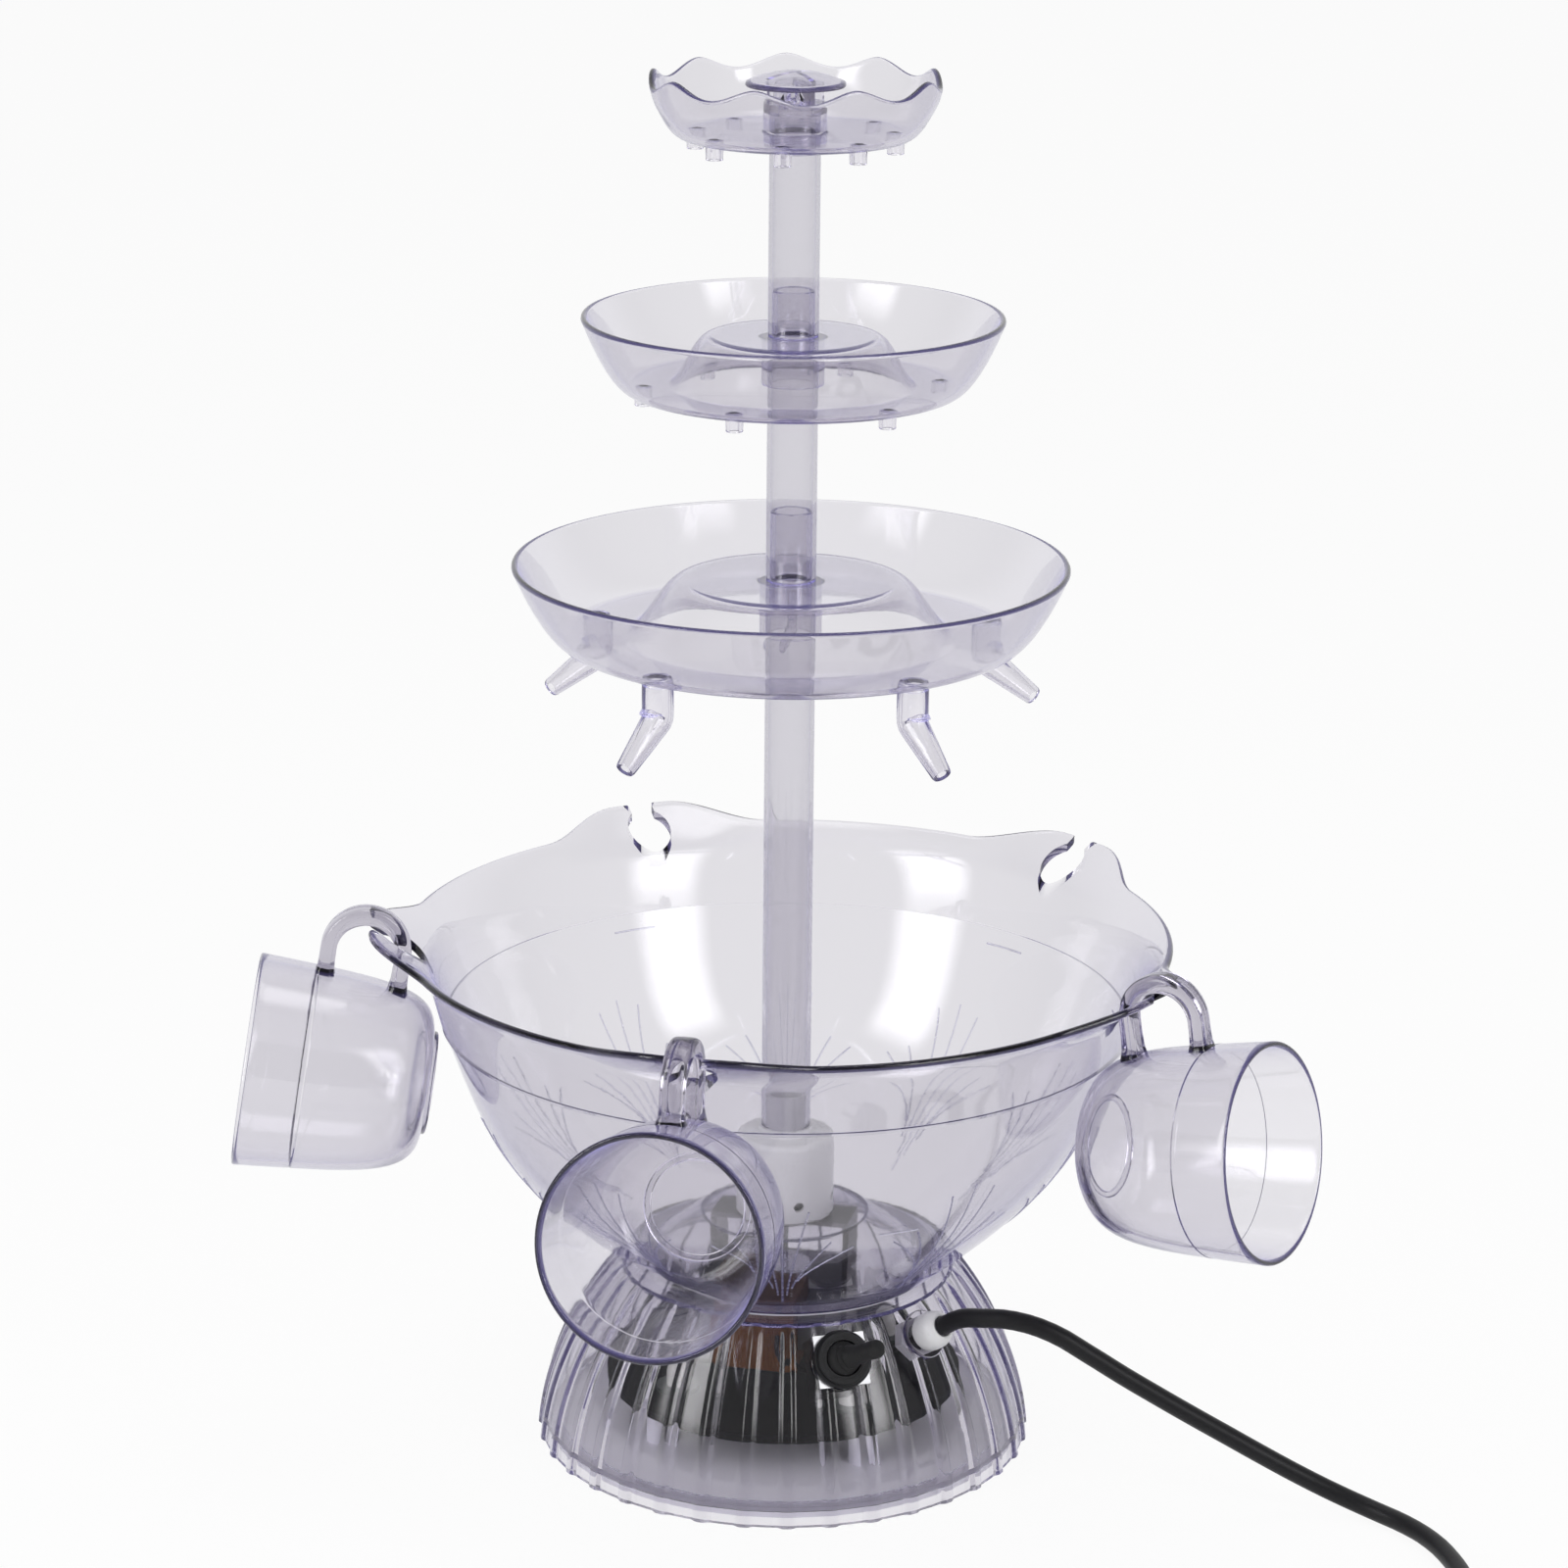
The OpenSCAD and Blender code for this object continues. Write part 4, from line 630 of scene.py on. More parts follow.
def waved(x, y, z):
    """Dips the rim between nine crests."""
    r = np.hypot(x, y)
    turn = np.arctan2(x, -y) - math.radians(WAVE_TURN)
    valley = (0.5 + 0.5 * np.cos(WAVES * turn)) ** WAVE_SHAPE
    share = eased(WAVE_LOW, 1.0, (z - TOP_FLOOR_Z) / (TOP_RIM_Z - TOP_FLOOR_Z))
    return x, y, z - np.where(r > TOP_FLOOR_R, WAVE_H * valley * share, 0)


crown_dish = moved(turned("crown_dish", top_outline, 216), waved)
nozzled(crown_dish, count=8, ring_r=35, turn=6, floor_z=TOP_FLOOR_Z)
smooth(crown_dish, 30)

# Cap: a thin domed lens, hollow below, on four fins
cap_seat, cap_edge = hub_high, hub_high + CAP_LIFT
dome_r = (CAP_R ** 2 + CAP_DOME_H ** 2) / (2 * CAP_DOME_H)
dome_half = math.asin(CAP_R / dome_r)
dome_mid = cap_edge + CAP_EDGE_T + CAP_DOME_H - dome_r
inner_r = dome_r - CAP_WALL
cap_outline = [(inner_r * math.sin(a), dome_mid + inner_r * math.cos(a))
               for a in np.linspace(0, math.asin((CAP_R - CAP_WALL) / inner_r), 18)]
cap_outline += [(CAP_R - CAP_WALL + 0.2, cap_edge + 0.3), (CAP_R - 0.9, cap_edge),
                (CAP_R - 0.3, cap_edge + 0.1), (CAP_R, cap_edge + 0.5), (CAP_R, cap_edge + CAP_EDGE_T - 0.4)]
cap_outline += [(dome_r * math.sin(a), dome_mid + dome_r * math.cos(a))
                for a in np.linspace(0.97 * dome_half, 0, 18)]
mushroom_cap = turned("mushroom_cap", cap_outline, 96, closed=False)
FIN_HALF, FIN_FIT, FIN_SEAT, FIN_RISE, LEG_RISE = 0.9, 0.2, 0.02, 3.2, 0.5


def fin(half_w, low, high):
    """A flat bar across the column's axis."""
    near, far = -FIN_HALF, FIN_HALF
    return slab([(-half_w, near), (half_w, near), (half_w, far), (-half_w, far)], low, high)


fins = []
for turn in (45, 135):
    bar = fin(HUB_R, cap_seat + FIN_SEAT, cap_edge + FIN_RISE)
    leg = fin(SPIGOT_BORE - FIN_FIT, cap_seat - TOP_HUB_H / 2, cap_seat + LEG_RISE)
    fins += [placed(bar, round_turn(turn)), placed(leg, round_turn(turn))]
cut(mushroom_cap, fins, "UNION")
smooth(mushroom_cap, 30)


# Spouts: bent, tapered and hollow
def bent_tube(name, stations, wall):
    """A hollow tube through (point, radius) stations."""
    pipe = bpy.data.curves.new(name, "CURVE")
    pipe.dimensions = "3D"
    pipe.bevel_depth = MM
    pipe.bevel_resolution = 7
    run_through(pipe, stations)
    piece = meshed(name, pipe)
    mend(piece)
    shell = piece.modifiers.new("wall", "SOLIDIFY")
    shell.thickness = wall * MM
    shell.offset = -1
    bpy.ops.object.modifier_apply(modifier=shell.name)
    smooth(piece, 50)
    return piece


SPOUT_NECK_R, SHOULDER_R, BEND_R, BEND_STEPS, BEND_TAPER, TIP_TAPER = 5.0, 5.4, 3.0, 8, 0.2, 0.2
spout_stations = [((0, 0, TRAY_WALL), SPOUT_NECK_R), ((0, 0, 0.05), SPOUT_NECK_R),
                  ((0, 0, -0.05), SHOULDER_R), ((0, 0, -0.6), SPOUT_R)]
tilt = math.radians(SPOUT_TILT)
bend_run = BEND_R * math.tan(tilt / 2)
for i in range(BEND_STEPS + 1):
    a = tilt * i / BEND_STEPS
    spout_stations.append(((0, -BEND_R * (1 - math.cos(a)), -SPOUT_DROP + bend_run - BEND_R * math.sin(a)),
                           SPOUT_R - BEND_TAPER * i / BEND_STEPS))
for share in (0.5, 0.97, 1.0):
    run = bend_run + (SPOUT_LEN - bend_run) * share
    radius = SPOUT_R - BEND_TAPER + (SPOUT_TIP_R - SPOUT_R + BEND_TAPER) * share
    if share == 1.0:
        radius -= TIP_TAPER
    spout_stations.append(((0, -run * math.sin(tilt), -SPOUT_DROP - run * math.cos(tilt)), radius))
first_spout = bent_tube("spout", spout_stations, SPOUT_WALL)
bent_spouts = []
for i in range(SPOUTS):
    place = (round_turn(SPOUT_TURN + 360 / SPOUTS * i, SPOUT_RING_R, LOW_FLOOR_Z)
             @ Matrix.Rotation(math.radians(SPOUT_TWISTS[i]), 4, "Z"))
    bent_spouts.append(placed(copied(first_spout, f"bent_spout_{i + 1}"), place))
bpy.data.objects.remove(first_spout)

# Cups: round tumblers with a ring line and a ridged strap handle
cup_curve = span((CUP_FOOT_R, CUP_FOOT_H), (CUP_R, CUP_H), CUP_SHARES)
cup_hollow = span((CUP_FOOT_R - CUP_WALL, CUP_FOOT_H + CUP_WALL), (CUP_R - CUP_WALL, CUP_H), CUP_SHARES)
cup_outer = traced(cup_curve, steps=40)
cup_inner = traced(cup_hollow, steps=40)
CUP_LINE_Z = 47.0
line_in = across(cup_outer, CUP_LINE_Z)
cup_lined = ([p for p in cup_outer if p[1] < CUP_LINE_Z - 0.6]
             + [(line_in, CUP_LINE_Z - 0.35), (line_in - 0.3, CUP_LINE_Z), (line_in, CUP_LINE_Z + 0.35)]
             + [p for p in cup_outer if p[1] > CUP_LINE_Z + 0.6])
cup_outline = ([(0, CUP_FOOT_H), (CUP_FOOT_R - 2.6, CUP_FOOT_H), (CUP_FOOT_R - 2.4, 0.3),
                (CUP_FOOT_R - 2.0, 0), (CUP_FOOT_R - 0.4, 0), (CUP_FOOT_R, 0.4)]
               + rounded_edge(cup_lined, cup_inner, CUP_WALL) + [(0, CUP_FOOT_H + CUP_WALL)])
tumbler = turned("tumbler", cup_outline, 128, closed=False)


STRAP_SIDES, STRAP_CORNER, STRAP_ROUND = 40, 0.45, 0.6
RIDGES, RIDGE_H, RIDGE_FROM = 3, 0.3, 0.35


def strap(name, path, half_w, half_t):
    """A strap with ridges along its outer face, swept through (y, z, scale) points."""
    edge = bpy.data.curves.new(name + "_edge", "CURVE")
    edge.dimensions = "2D"
    ring = []
    for k in range(STRAP_SIDES):
        a = TURN * k / STRAP_SIDES
        ca, sa = math.cos(a), math.sin(a)
        x = half_w * math.copysign(abs(ca) ** STRAP_CORNER, ca)
        t = half_t * math.copysign(abs(sa) ** STRAP_ROUND, sa)
        if sa > RIDGE_FROM:
            t += RIDGE_H * math.cos(x / half_w * RIDGES * math.pi) - RIDGE_H
        ring.append(((t, x, 0), 1.0))
    run_through(edge, ring).use_cyclic_u = True
    edge_object = added(name + "_edge", edge)
    sweep = bpy.data.curves.new(name, "CURVE")
    sweep.dimensions = "3D"
    sweep.twist_mode = "Z_UP"
    sweep.bevel_mode = "OBJECT"
    sweep.bevel_object = edge_object
    sweep.use_fill_caps = True
    run_through(sweep, [((y, z, 0), size) for y, z, size in path])
    piece = meshed(name, sweep)
    bpy.data.objects.remove(edge_object)
    stand = Matrix(((0, 0, 1, 0), (1, 0, 0, 0), (0, 1, 0, 0), (0, 0, 0, 1)))
    placed(piece, stand)
    mend(piece)
    smooth(piece, 40)
    return piece


LEG_SINK, ARCH_SWELL = 0.6, 0.1
LEG_FLARES = ((0, 1.32), (0.12, 1.2), (0.3, 1.06), (0.6, 1.0))


def handle_leg(z):
    """A leg of the handle, from the cup's wall to the arch, as (y, z, scale) points."""
    start = across(cup_outer, z) - CUP_WALL * LEG_SINK
    return [(start + share * (ARCH_Y - start), z, size) for share, size in LEG_FLARES]


handle_path = handle_leg(HANDLE_MID + ARCH_R)
for a in np.linspace(90, -90, 25):
    out, up = math.cos(math.radians(a)), math.sin(math.radians(a))
    handle_path.append((ARCH_Y + ARCH_R * out, HANDLE_MID + ARCH_R * up, 1 + ARCH_SWELL * out ** 2))
handle_path += reversed(handle_leg(HANDLE_MID - ARCH_R))
cut(tumbler, [strap("strap", handle_path, HANDLE_W / 2, HANDLE_T / 2)], "UNION")
smooth(tumbler, 32)
cups = []
for name, step in (("tumbler_left", -1), ("tumbler_front", 0), ("tumbler_right", 1)):
    place = (round_turn(360 / HOOKS * step, CUP_RHO, CUP_Z)
             @ Matrix.Rotation(math.radians(90 - CUP_TILT), 4, "X"))
    cups.append(placed(copied(tumbler, name), place))
bpy.data.objects.remove(tumbler)

# Switch: a ring nut and a booted lever
nut_outline = [(BUSHING_R + 0.05, 0), (NUT_R - 0.2, 0), (NUT_R, 0.3), (NUT_R, 1.9), (NUT_R - 0.5, 2.5),
               (NUT_R - 0.9, 2.6), (NUT_R - 0.9, 3.5), (NUT_R - 1.3, NUT_H), (BUSHING_R + 0.05, NUT_H)]
ring_nut = placed(turned("ring_nut", nut_outline, 72), on_shell(SWITCH_TURN, SWITCH_SHARE, PAD_H + PLATE_T))
boot_outline = [(0, -BOOT_R)]
boot_outline += [(BOOT_R * math.cos(a), BOOT_R * math.sin(a)) for a in np.linspace(-1.4, 0.1, 12)]
boot_outline += [(6.1, 1.3), (5.5, 2.0), (5.2, 2.2), (5.3, 2.9), (4.9, 3.5), (4.4, 3.8), (4.5, 4.6),
                 (4.1, 5.2), (3.8, 6.0), (3.6, 9.0), (3.4, 13.0), (3.3, 15.5),
                 (3.5, 16.4), (3.5, 18.0), (3.1, 19.0), (2.0, 19.6), (0, 19.7)]
booted_lever = placed(turned("booted_lever", boot_outline, 56, closed=False),
                      on_shell(SWITCH_TURN, SWITCH_SHARE, LEVER_Z)
                      @ Matrix.Rotation(math.radians(LEVER_TILT), 4, "Y"))

# Cord gland
gland_outline = [(3.6, 0), (6.3, 0), (6.8, 0.8), (GLAND_R, 2.6), (GLAND_R, 4.6), (6.8, 6.3), (6.3, 7.8),
                 (5.6, 9.0), (4.8, 9.8), (4.3, GLAND_LEN), (3.9, GLAND_LEN), (3.6, 9.4)]
bead_gland = placed(turned("bead_gland", gland_outline, 64), on_shell(GLAND_TURN, GLAND_SHARE, PAD_H))

# Plug with a ribbed strain relief
PLUG_EDGE, RELIEF_RIBS, RIB_W, RELIEF_R, RELIEF_TAPER = 3.2, 5, 2.4, 6.1, 0.32
fresh()
bpy.ops.mesh.primitive_cube_add(size=1)
plug_shell = named(bpy.context.object, "plug_shell")
bpy.ops.object.mode_set(mode="EDIT")
bpy.ops.mesh.select_all(action="SELECT")
bpy.ops.transform.resize(value=(PLUG_LEN * MM, PLUG_W * MM, PLUG_T * MM))
bpy.ops.mesh.bevel(offset=PLUG_EDGE * MM, segments=6, affect="EDGES")
bpy.ops.object.mode_set(mode="OBJECT")
relief_start = plug_entry - RELIEF_LEN * plug_way
placed(plug_shell, Matrix.Translation((relief_start - PLUG_LEN / 2 * plug_way) * MM))
relief_outline = [(0, -2.0), (6.2, -2.0), (6.2, 1.0)]
for rib in range(RELIEF_RIBS):
    low = 2.0 + rib * (RELIEF_LEN - 2.5) / RELIEF_RIBS
    high = low + RIB_W
    r = RELIEF_R - RELIEF_TAPER * rib
    relief_outline += [(r - 0.9, low), (r - 0.15, low + 0.4), (r, low + 0.9), (r - 0.1, high),
                       (r - 0.9, high + 0.3)]
relief_outline += [(4.2, RELIEF_LEN - 0.2), (3.7, RELIEF_LEN), (0, RELIEF_LEN)]
plug_relief = placed(turned("plug_relief", relief_outline, 40, closed=False),
                     Matrix.Translation(relief_start * MM) @ Matrix.Rotation(math.pi / 2, 4, "Y"))
smooth(plug_shell, 40)
cut(plug_shell, [plug_relief], "UNION")
smooth(plug_shell, 40)

# The pads become part of the shell
cut(fluted_base, [switch_pad, gland_pad], "UNION")
smooth(fluted_base, 24)


# Finishes: effects that several of them share
def shader_group(name, takes, gives):
    """An empty group with its named sockets, and its two end nodes."""
    group = bpy.data.node_groups.new(name, "ShaderNodeTree")
    for socket, kind in takes:
        group.interface.new_socket(socket, in_out="INPUT", socket_type=kind)
    for socket, kind in gives:
        group.interface.new_socket(socket, in_out="OUTPUT", socket_type=kind)
    return group, group.nodes.new("NodeGroupInput").outputs, group.nodes.new("NodeGroupOutput").inputs


def feed(tree, socket, value):
    """Links a socket, or sets a plain value."""
    if isinstance(value, bpy.types.NodeSocket):
        tree.links.new(value, socket)
    else:
        socket.default_value = value


def dial(tree, node, **values):
    """Feeds a node's inputs by name, with _ for a space."""
    for name, value in values.items():
        feed(tree, node.inputs[name.replace("_", " ")], value)
    return node


def new_node(tree, kind, **values):
    return dial(tree, tree.nodes.new("ShaderNode" + kind), **values)


def math_node(tree, operation, *values):
    node = new_node(tree, "Math")
    node.operation = operation
    for socket, value in zip(node.inputs, values):
        feed(tree, socket, value)
    return node.outputs[0]


def mixed(tree, factor, a, b):
    """A colour between two."""
    node = new_node(tree, "Mix")
    node.data_type = "RGBA"
    return dial(tree, node, Factor=factor, A=a, B=b).outputs["Result"]


def noise_node(tree, vector, scale, detail):
    return new_node(tree, "TexNoise", Detail=detail, Vector=vector, Scale=scale).outputs["Fac"]


NUMBER, COLOUR = "NodeSocketFloat", "NodeSocketColor"
CLOUD_SCALE, SCUFF_SCALE = 0.06, 160.0

# Moulded grain: a cloudy tone, an uneven gloss and a fine relief
grain, takes, gives = shader_group(
    "moulded_grain",
    [("Tone", COLOUR), ("Mottle", NUMBER), ("Gloss", NUMBER), ("Spread", NUMBER), ("Scale", NUMBER)],
    [("Tone", COLOUR), ("Roughness", NUMBER), ("Relief", NUMBER)])
where = new_node(grain, "TexCoord").outputs["Object"]
fine = noise_node(grain, where, takes["Scale"], 4.0)
cloud = noise_node(grain, where, math_node(grain, "MULTIPLY", takes["Scale"], CLOUD_SCALE), 3.0)
dim = math_node(grain, "MULTIPLY", cloud, takes["Mottle"])
shade = new_node(grain, "HueSaturation", Value=math_node(grain, "SUBTRACT", 1.0, dim), Color=takes["Tone"])
grain.links.new(shade.outputs["Color"], gives["Tone"])
half_fine = math_node(grain, "MULTIPLY", fine, 0.5)
blend = math_node(grain, "ADD", half_fine, math_node(grain, "MULTIPLY", cloud, 0.5))
rough = math_node(grain, "MULTIPLY_ADD", blend, takes["Spread"], takes["Gloss"])
grain.links.new(rough, gives["Roughness"])
grain.links.new(fine, gives["Relief"])

# Hair scuffs: fine streaks left by wiping
scuff, takes, gives = shader_group(
    "hair_scuffs", [("Scale", NUMBER), ("Amount", NUMBER)], [("Mask", NUMBER)])
where = new_node(scuff, "TexCoord").outputs["Object"]
stretch = new_node(scuff, "Mapping", Scale=(0.35, 0.35, 7.0), Rotation=(0.3, 0.2, 0.0), Vector=where)
streak = noise_node(scuff, stretch.outputs["Vector"], takes["Scale"], 3.0)
narrow = new_node(scuff, "MapRange", From_Min=0.6, From_Max=0.72, Value=streak)
scuff.links.new(math_node(scuff, "MULTIPLY", narrow.outputs["Result"], takes["Amount"]), gives["Mask"])


def finish(name, tone, gloss, scale, mottle=0.15, spread=0.12, relief=0.15, metal=0.0, scuffs=0.06,
           depth=0.0003):
    """A finish of one tone with moulded grain and scuffs."""
    material = bpy.data.materials.new(name)
    material.use_nodes = True
    tree = material.node_tree
    shader = tree.nodes["Principled BSDF"]
    body = tree.nodes.new("ShaderNodeGroup")
    body.node_tree = grain
    dial(tree, body, Tone=(*tone, 1), Mottle=mottle, Gloss=gloss, Spread=spread, Scale=scale)
    wiped = tree.nodes.new("ShaderNodeGroup")
    wiped.node_tree = scuff
    dial(tree, wiped, Scale=SCUFF_SCALE, Amount=scuffs)
    rough = math_node(tree, "ADD", body.outputs["Roughness"], wiped.outputs["Mask"])
    height = math_node(tree, "ADD", body.outputs["Relief"], wiped.outputs["Mask"])
    bump = new_node(tree, "Bump", Strength=relief, Distance=depth, Height=height)
    dial(tree, shader, Metallic=metal, Base_Color=body.outputs["Tone"], Roughness=rough,
         Normal=bump.outputs["Normal"])
    return material, tree, shader, body


def clear_plastic(name, tone, tint, density, gloss=0.015):
    """Clear plastic that takes a violet tint with depth, with faint moulding ripples, painted violet shade
    at slanted edges and a painted glow at the rims.
    """
    material, tree, shader, body = finish(name, tone, gloss, 60.0, mottle=0.02, spread=0.03, relief=0.05,
                                          scuffs=0.03, depth=0.0006)
    soak = new_node(tree, "VolumeAbsorption", Color=(*tint, 1), Density=density)
    tree.links.new(soak.outputs["Volume"], tree.nodes["Material Output"].inputs["Volume"])
    rays = new_node(tree, "LightPath")
    passed = math_node(tree, "MULTIPLY_ADD", rays.outputs["Is Shadow Ray"], -SHADOW_PASS, 1.0)
    slant = new_node(tree, "LayerWeight", Blend=0.5)
    # Painted shade: the colour turns dark violet where the surface is seen slanted
    edge = math_node(tree, "POWER", slant.outputs["Facing"], EDGE_FALL)
    # Painted glow: emission after two glossy bounces lights the rims
    painted_glow_mask = math_node(tree, "GREATER_THAN", rays.outputs["Glossy Depth"], PAINTED_GLOW_DEPTH)
    dial(tree, shader, Transmission_Weight=1.0, IOR=PLASTIC_IOR, Alpha=passed, Emission_Strength=1.0,
         Base_Color=mixed(tree, edge, body.outputs["Tone"], PAINTED_EDGE_SHADE),
         Emission_Color=mixed(tree, painted_glow_mask, (0, 0, 0, 1), PAINTED_RIM_GLOW))
    return material


# Painted shade: slanted edges get a darker violet colour. Painted glow: emission at the rims on rays after
# two glossy bounces
PLASTIC_IOR, SHADOW_PASS, EDGE_FALL, PAINTED_GLOW_DEPTH = 1.5, 0.97, 4.0, 1.5
PAINTED_EDGE_SHADE, PAINTED_RIM_GLOW = (0.34, 0.33, 0.55, 1), (0.046, 0.044, 0.085, 1)
VIOLET_TINT, VIOLET_DENSITY = (0.773, 0.76, 0.80), 300.0
COLUMN_TINT, COLUMN_DENSITY = (0.68, 0.67, 0.71), 400.0
CLEAR_TONE = (0.985, 0.98, 0.995)
clear = clear_plastic("clear_violet_plastic", CLEAR_TONE, VIOLET_TINT, VIOLET_DENSITY)
clear_tube = clear_plastic("clear_tube_plastic", CLEAR_TONE, COLUMN_TINT, COLUMN_DENSITY)
etched = clear_plastic("etched_line", (0.9, 0.9, 0.97), VIOLET_TINT, 600.0, 0.25)
white_plastic = finish("white_plastic", (0.86, 0.86, 0.87), 0.22, 900.0, mottle=0.05)[0]
cover_plastic = finish("pale_cover_plastic", (0.93, 0.92, 0.98), 0.3, 700.0, mottle=0.08)[0]
black_plastic = finish("black_plastic", (0.011, 0.011, 0.013), 0.3, 900.0, mottle=0.4, spread=0.25)[0]
black_rubber = finish("black_rubber", (0.02, 0.02, 0.021), 0.45, 1400.0, mottle=0.4, spread=0.2,
                      relief=0.3)[0]
steel = finish("plated_steel", (0.62, 0.62, 0.64), 0.16, 500.0, mottle=0.2, spread=0.2, metal=1.0,
               scuffs=0.12)[0]
core_steel = finish("laminated_core", (0.20, 0.20, 0.21), 0.4, 500.0, mottle=0.5, spread=0.3, metal=0.8)[0]
board_dark = finish("circuit_board", (0.02, 0.03, 0.025), 0.4, 600.0, mottle=0.3)[0]
lamp_white = finish("lamp_lens", (0.55, 0.55, 0.52), 0.12, 400.0, mottle=0.05)[0]
dark_steel = finish("blackened_steel", (0.16, 0.15, 0.15), 0.3, 500.0, mottle=0.3, spread=0.25,
                    metal=0.9)[0]
clear_rubber = finish("clear_rubber", (0.80, 0.79, 0.84), 0.3, 900.0, mottle=0.1)[0]
cord_black = finish("cord_jacket", (0.016, 0.016, 0.018), 0.30, 1100.0, mottle=0.35, spread=0.2,
                    relief=0.2)[0]
satin_plate = finish("satin_plate", (0.62, 0.62, 0.64), 0.3, 500.0, mottle=0.2, spread=0.2, metal=1.0)[0]
DARK_SPECULAR = 0.2
for dark in (black_plastic, black_rubber, cord_black):
    dark.node_tree.nodes["Principled BSDF"].inputs["Specular IOR Level"].default_value = DARK_SPECULAR

# Enamelled wire: fine turns round the winding's axis
copper, copper_tree, copper_shader = finish(
    "enamelled_copper", (0.22, 0.09, 0.032), 0.35, 500.0, mottle=0.45, spread=0.2, metal=0.7)[:3]
turns_at = new_node(copper_tree, "TexCoord").outputs["Object"]
turns = new_node(copper_tree, "TexWave", Scale=420.0, Distortion=1.2, Vector=turns_at)
wire_bump = new_node(copper_tree, "Bump", Strength=0.6, Distance=0.0005, Height=turns.outputs["Fac"])
dial(copper_tree, copper_shader, Normal=wire_bump.outputs["Normal"])

# Chassis: a matt black disc on pale posts
chassis, chassis_tree, chassis_shader, chassis_body = finish(
    "chassis_plastic", (0.009, 0.009, 0.011), 0.55, 900.0, mottle=0.4, spread=0.25)
DISC_LOW, DISC_SPECULAR, POST_TONE = 0.0206, 0.12, (0.8, 0.79, 0.86, 1)
chassis_at = new_node(chassis_tree, "TexCoord").outputs["Object"]
height = new_node(chassis_tree, "SeparateXYZ", Vector=chassis_at).outputs["Z"]
posts = math_node(chassis_tree, "LESS_THAN", height, DISC_LOW)
tones = mixed(chassis_tree, posts, chassis_body.outputs["Tone"], POST_TONE)
dial(chassis_tree, chassis_shader, Specular_IOR_Level=DISC_SPECULAR, Base_Color=tones)

# The pieces: finish, body, slot and the nodes that each stands for
pieces = [
    (fluted_base, clear, "base", "clear", ["base_shell"]),
    (serving_bowl, clear, "base", "clear", ["bowl"]),
    (fan_lines, etched, "base", "clear", []),
    (level_marks, etched, "base", "clear", []),
    (pump_housing, white_plastic, "pump", "white", ["pump_cover"]),
    (lower_column, clear_tube, "column_low", "clear", ["lower_tube"]),
    (lower_dish, clear, "tray_low", "clear", ["lower_tray"]),
    (middle_column, clear_tube, "column_mid", "clear", ["middle_tube"]),
    (middle_dish, clear, "tray_mid", "clear", ["middle_tray"]),
    (upper_column, clear_tube, "column_top", "clear", ["upper_tube"]),
    (crown_dish, clear, "tray_top", "clear", ["top_tray"]),
    (mushroom_cap, clear, "cap", "clear", ["top_cap"]),
    (cups[0], clear, "cup_l", "clear", ["cup_left"]),
    (cups[1], clear, "cup_f", "clear", ["cup_front"]),
    (cups[2], clear, "cup_r", "clear", ["cup_right"]),
    (ring_nut, black_plastic, "base", "black", ["switch_nut"]),
    (booted_lever, black_rubber, "toggle", "rubber", ["switch_lever"]),
    (bead_gland, white_plastic, "base", "white", ["cord_gland"]),
    (plug_shell, black_rubber, "base", "black", ["plug_body"]),
    (cord, cord_black, "base", "cord", ["mains_cord", "cord_coil", "plug_lead"])]
for i, spout in enumerate(bent_spouts):
    pieces.append((spout, clear, "tray_low", "clear", [f"spout_{i + 1}"]))
for piece, material, body, slot, nodes in pieces:
    piece.data.materials.clear()
    piece.data.materials.append(material)
    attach(piece, body)
    if nodes:
        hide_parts(*nodes)

# The nodes that stay as they are get their finish
kept_nodes = {
    "bottom_cover": cover_plastic, "cover_screws": steel, "chassis_plate": chassis,
    "motor_frame": dark_steel, "frame_screws": steel, "motor_stator": core_steel, "motor_coil": copper,
    "motor_bearings": copper, "motor_rotor": steel, "lamp_boards": board_dark, "lamps": lamp_white,
    "switch_plate": satin_plate, "switch_body": black_plastic, "gland_nut": white_plastic,
    "inner_leads": cord_black, "bowl_gasket": clear_rubber, "shaft_seal": black_rubber,
    "pump_screws": steel, "impeller": white_plastic, "cord_tie": black_plastic, "plug_pins": steel}
for node, material in kept_nodes.items():
    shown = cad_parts[node]
    if not shown.material_slots:
        shown.data.materials.append(material)
    for material_slot in shown.material_slots:
        material_slot.material = material

# Floor: white where it is seen, with a soft shadow left on it
FLOOR_SIZE, FLOOR_DROP, FLOOR_GLOW = 60.0, 0.3, 0.93
fresh()
bpy.ops.mesh.primitive_plane_add(size=FLOOR_SIZE, location=(0, 0, -FLOOR_DROP * MM))
floor = named(bpy.context.object, "floor")
floor_finish = bpy.data.materials.new("pale_floor")
floor_finish.use_nodes = True
tree = floor_finish.node_tree
tree.nodes.remove(tree.nodes["Principled BSDF"])
matt = new_node(tree, "BsdfDiffuse", Color=(0.9, 0.9, 0.9, 1))
glow = new_node(tree, "Emission")
share = new_node(tree, "MixShader")
rays = new_node(tree, "LightPath")
seen = math_node(tree, "MAXIMUM", rays.outputs["Is Camera Ray"], rays.outputs["Is Glossy Ray"])
seen = math_node(tree, "MAXIMUM", seen, rays.outputs["Is Transmission Ray"])
tree.links.new(math_node(tree, "MULTIPLY", seen, FLOOR_GLOW), share.inputs["Fac"])
tree.links.new(matt.outputs["BSDF"], share.inputs[1])
tree.links.new(glow.outputs["Emission"], share.inputs[2])
tree.links.new(share.outputs["Shader"], tree.nodes["Material Output"].inputs["Surface"])
floor.data.materials.append(floor_finish)

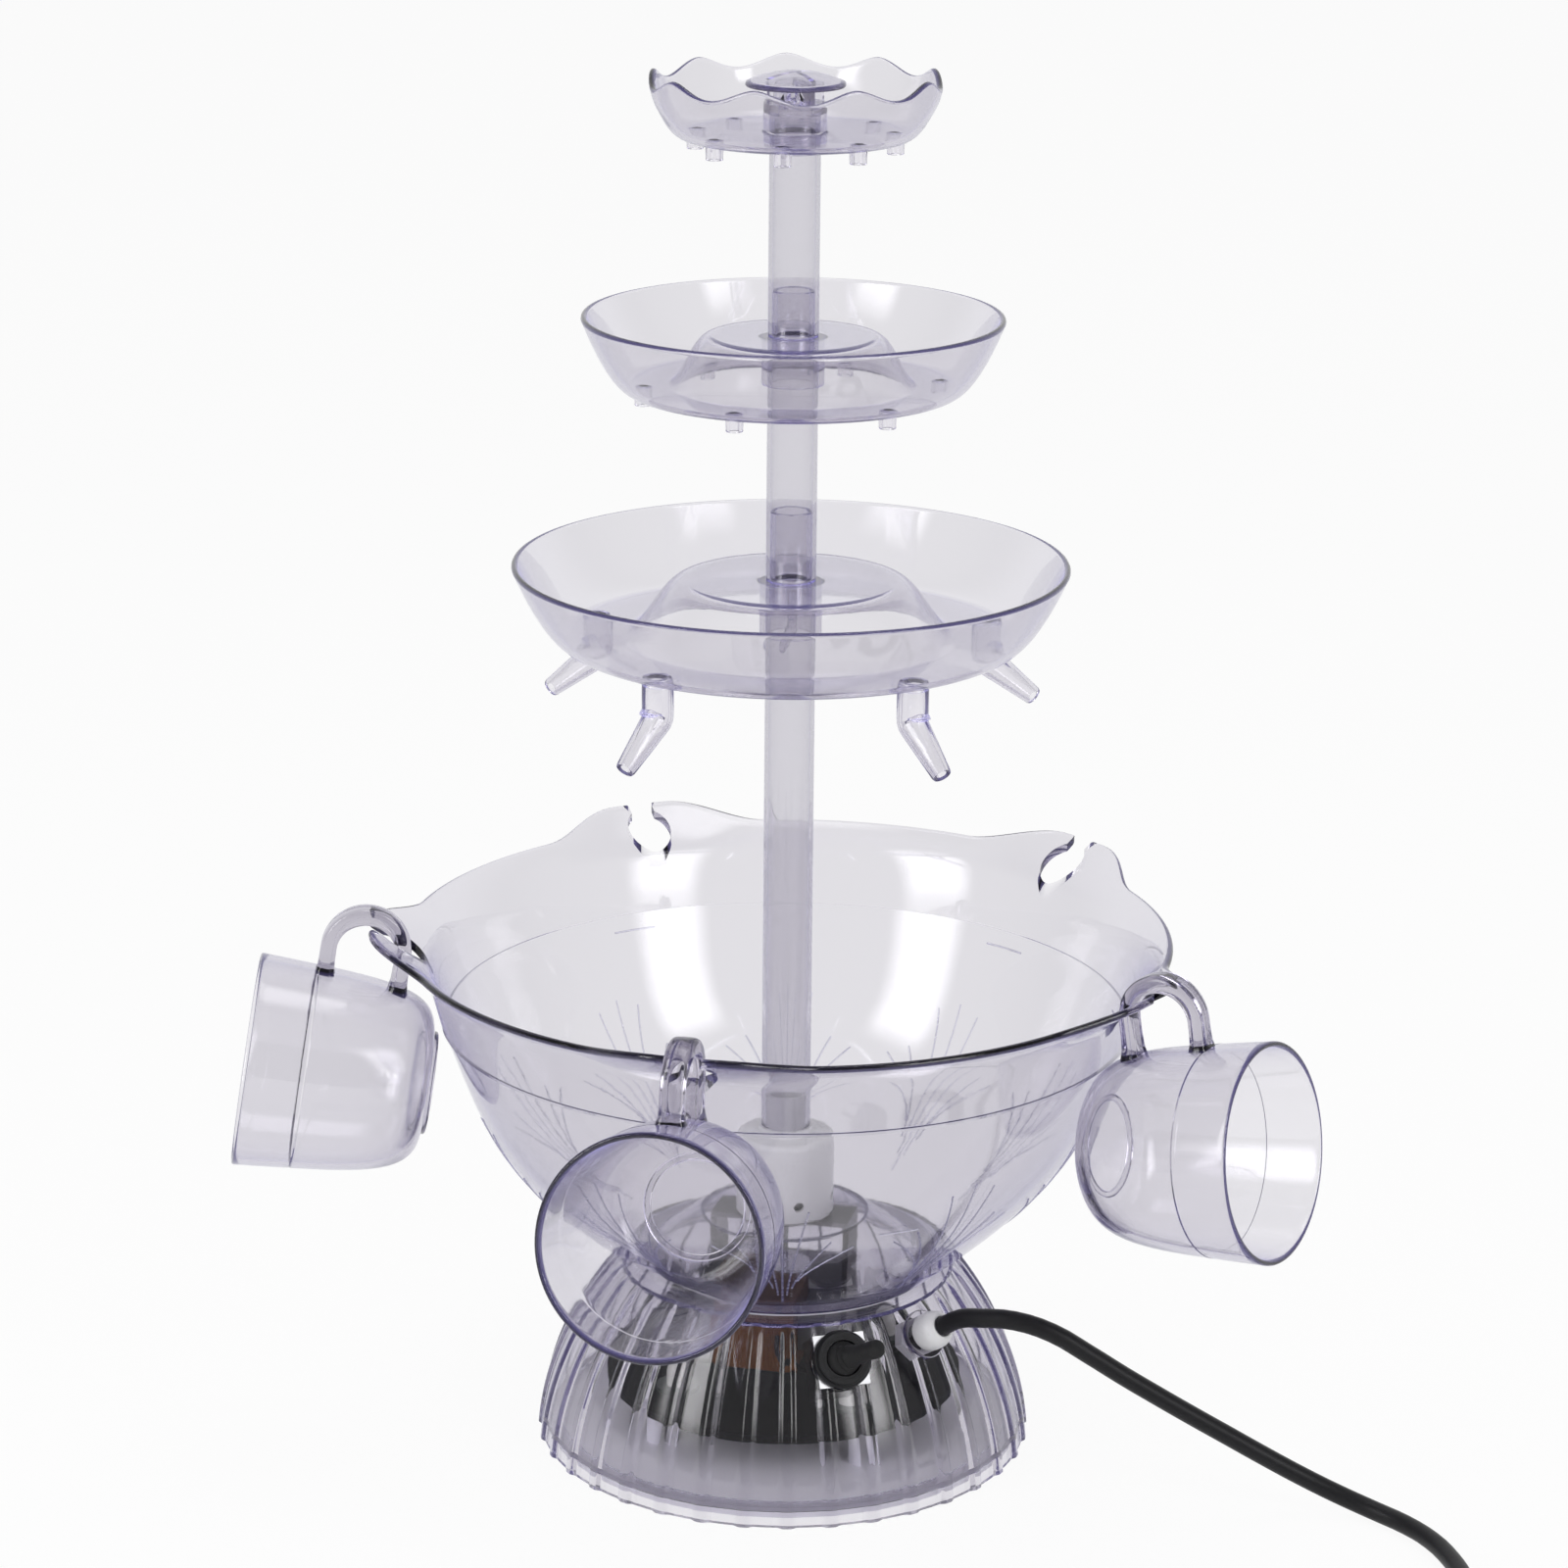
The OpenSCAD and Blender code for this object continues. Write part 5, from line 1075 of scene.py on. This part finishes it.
# World: a white backdrop behind the fountain, a dim studio in front of it, and a plain grey for its light
world = bpy.data.worlds.new("studio")
bpy.context.scene.world = world
world.use_nodes = True
tree = world.node_tree
sky = tree.nodes["Background"]
sky.inputs["Color"].default_value = (1, 1, 1, 1)
SKY_LIGHT, STUDIO_DIM, BACKDROP_LOW, BACKDROP_HIGH = 0.42, 0.28, 0.2, 0.75
rays = new_node(tree, "LightPath")
facing = new_node(tree, "VectorMath")
facing.operation = "DOT_PRODUCT"
facing.inputs[1].default_value = (-math.sin(CAMERA_TURN), math.cos(CAMERA_TURN), 0)
tree.links.new(new_node(tree, "TexCoord").outputs["Generated"], facing.inputs[0])
backdrop = new_node(tree, "MapRange", From_Min=BACKDROP_LOW, From_Max=BACKDROP_HIGH, To_Min=STUDIO_DIM,
                    To_Max=1.0, Value=facing.outputs["Value"])
backdrop.interpolation_type = "SMOOTHSTEP"
clear_rays = math_node(tree, "MAXIMUM", rays.outputs["Is Glossy Ray"], rays.outputs["Is Transmission Ray"])
shown = math_node(tree, "SUBTRACT", backdrop.outputs["Result"], SKY_LIGHT)
lit = math_node(tree, "MULTIPLY_ADD", clear_rays, shown, SKY_LIGHT)
tree.links.new(math_node(tree, "MAXIMUM", lit, rays.outputs["Is Camera Ray"]), sky.inputs["Strength"])


# Soft boxes, brightest in the middle
BOX_EDGE = 0.3


def soft_box(name, turn, distance, place_z, target_z, width, height, radiance):
    """A lamp round the column that looks at a height on it."""
    lamp = bpy.data.lights.new(name, "AREA")
    lamp.shape = "RECTANGLE"
    lamp.size = width
    lamp.size_y = height
    lamp.energy = radiance * math.pi * width * height
    lamp.use_nodes = True
    tree = lamp.node_tree
    spot = new_node(tree, "SeparateXYZ", Vector=new_node(tree, "NewGeometry").outputs["Parametric"])
    glows = []
    for axis in ("X", "Y"):
        near = spot.outputs[axis]
        inside = math_node(tree, "MINIMUM", near, math_node(tree, "SUBTRACT", 1.0, near))
        edge = new_node(tree, "MapRange", From_Max=BOX_EDGE, Value=inside)
        edge.interpolation_type = "SMOOTHSTEP"
        glows.append(edge.outputs["Result"])
    tree.links.new(math_node(tree, "MULTIPLY", *glows), tree.nodes["Emission"].inputs["Strength"])
    box = added(name, lamp)
    place = radial((distance, place_z), turn)
    box.location = place
    box.rotation_euler = (Vector((0, 0, target_z)) - place).to_track_quat("-Z", "Y").to_euler()
    box.visible_camera = False


side_box = dict(distance=1.7, place_z=0.95, target_z=0.25, width=1.0, height=1.6, radiance=5.0)
soft_box("box_left", -40.0, **side_box)
soft_box("box_right", 57.0, **side_box)
soft_box("box_top", 180.0, distance=0.3, place_z=1.9, target_z=0.2, width=1.2, height=1.0, radiance=2.5)

scene = bpy.context.scene
scene.view_settings.view_transform = "Standard"
scene.cycles.max_bounces = 40
scene.cycles.transmission_bounces = 36
scene.cycles.glossy_bounces = 8
scene.cycles.diffuse_bounces = 4
scene.cycles.transparent_max_bounces = 16
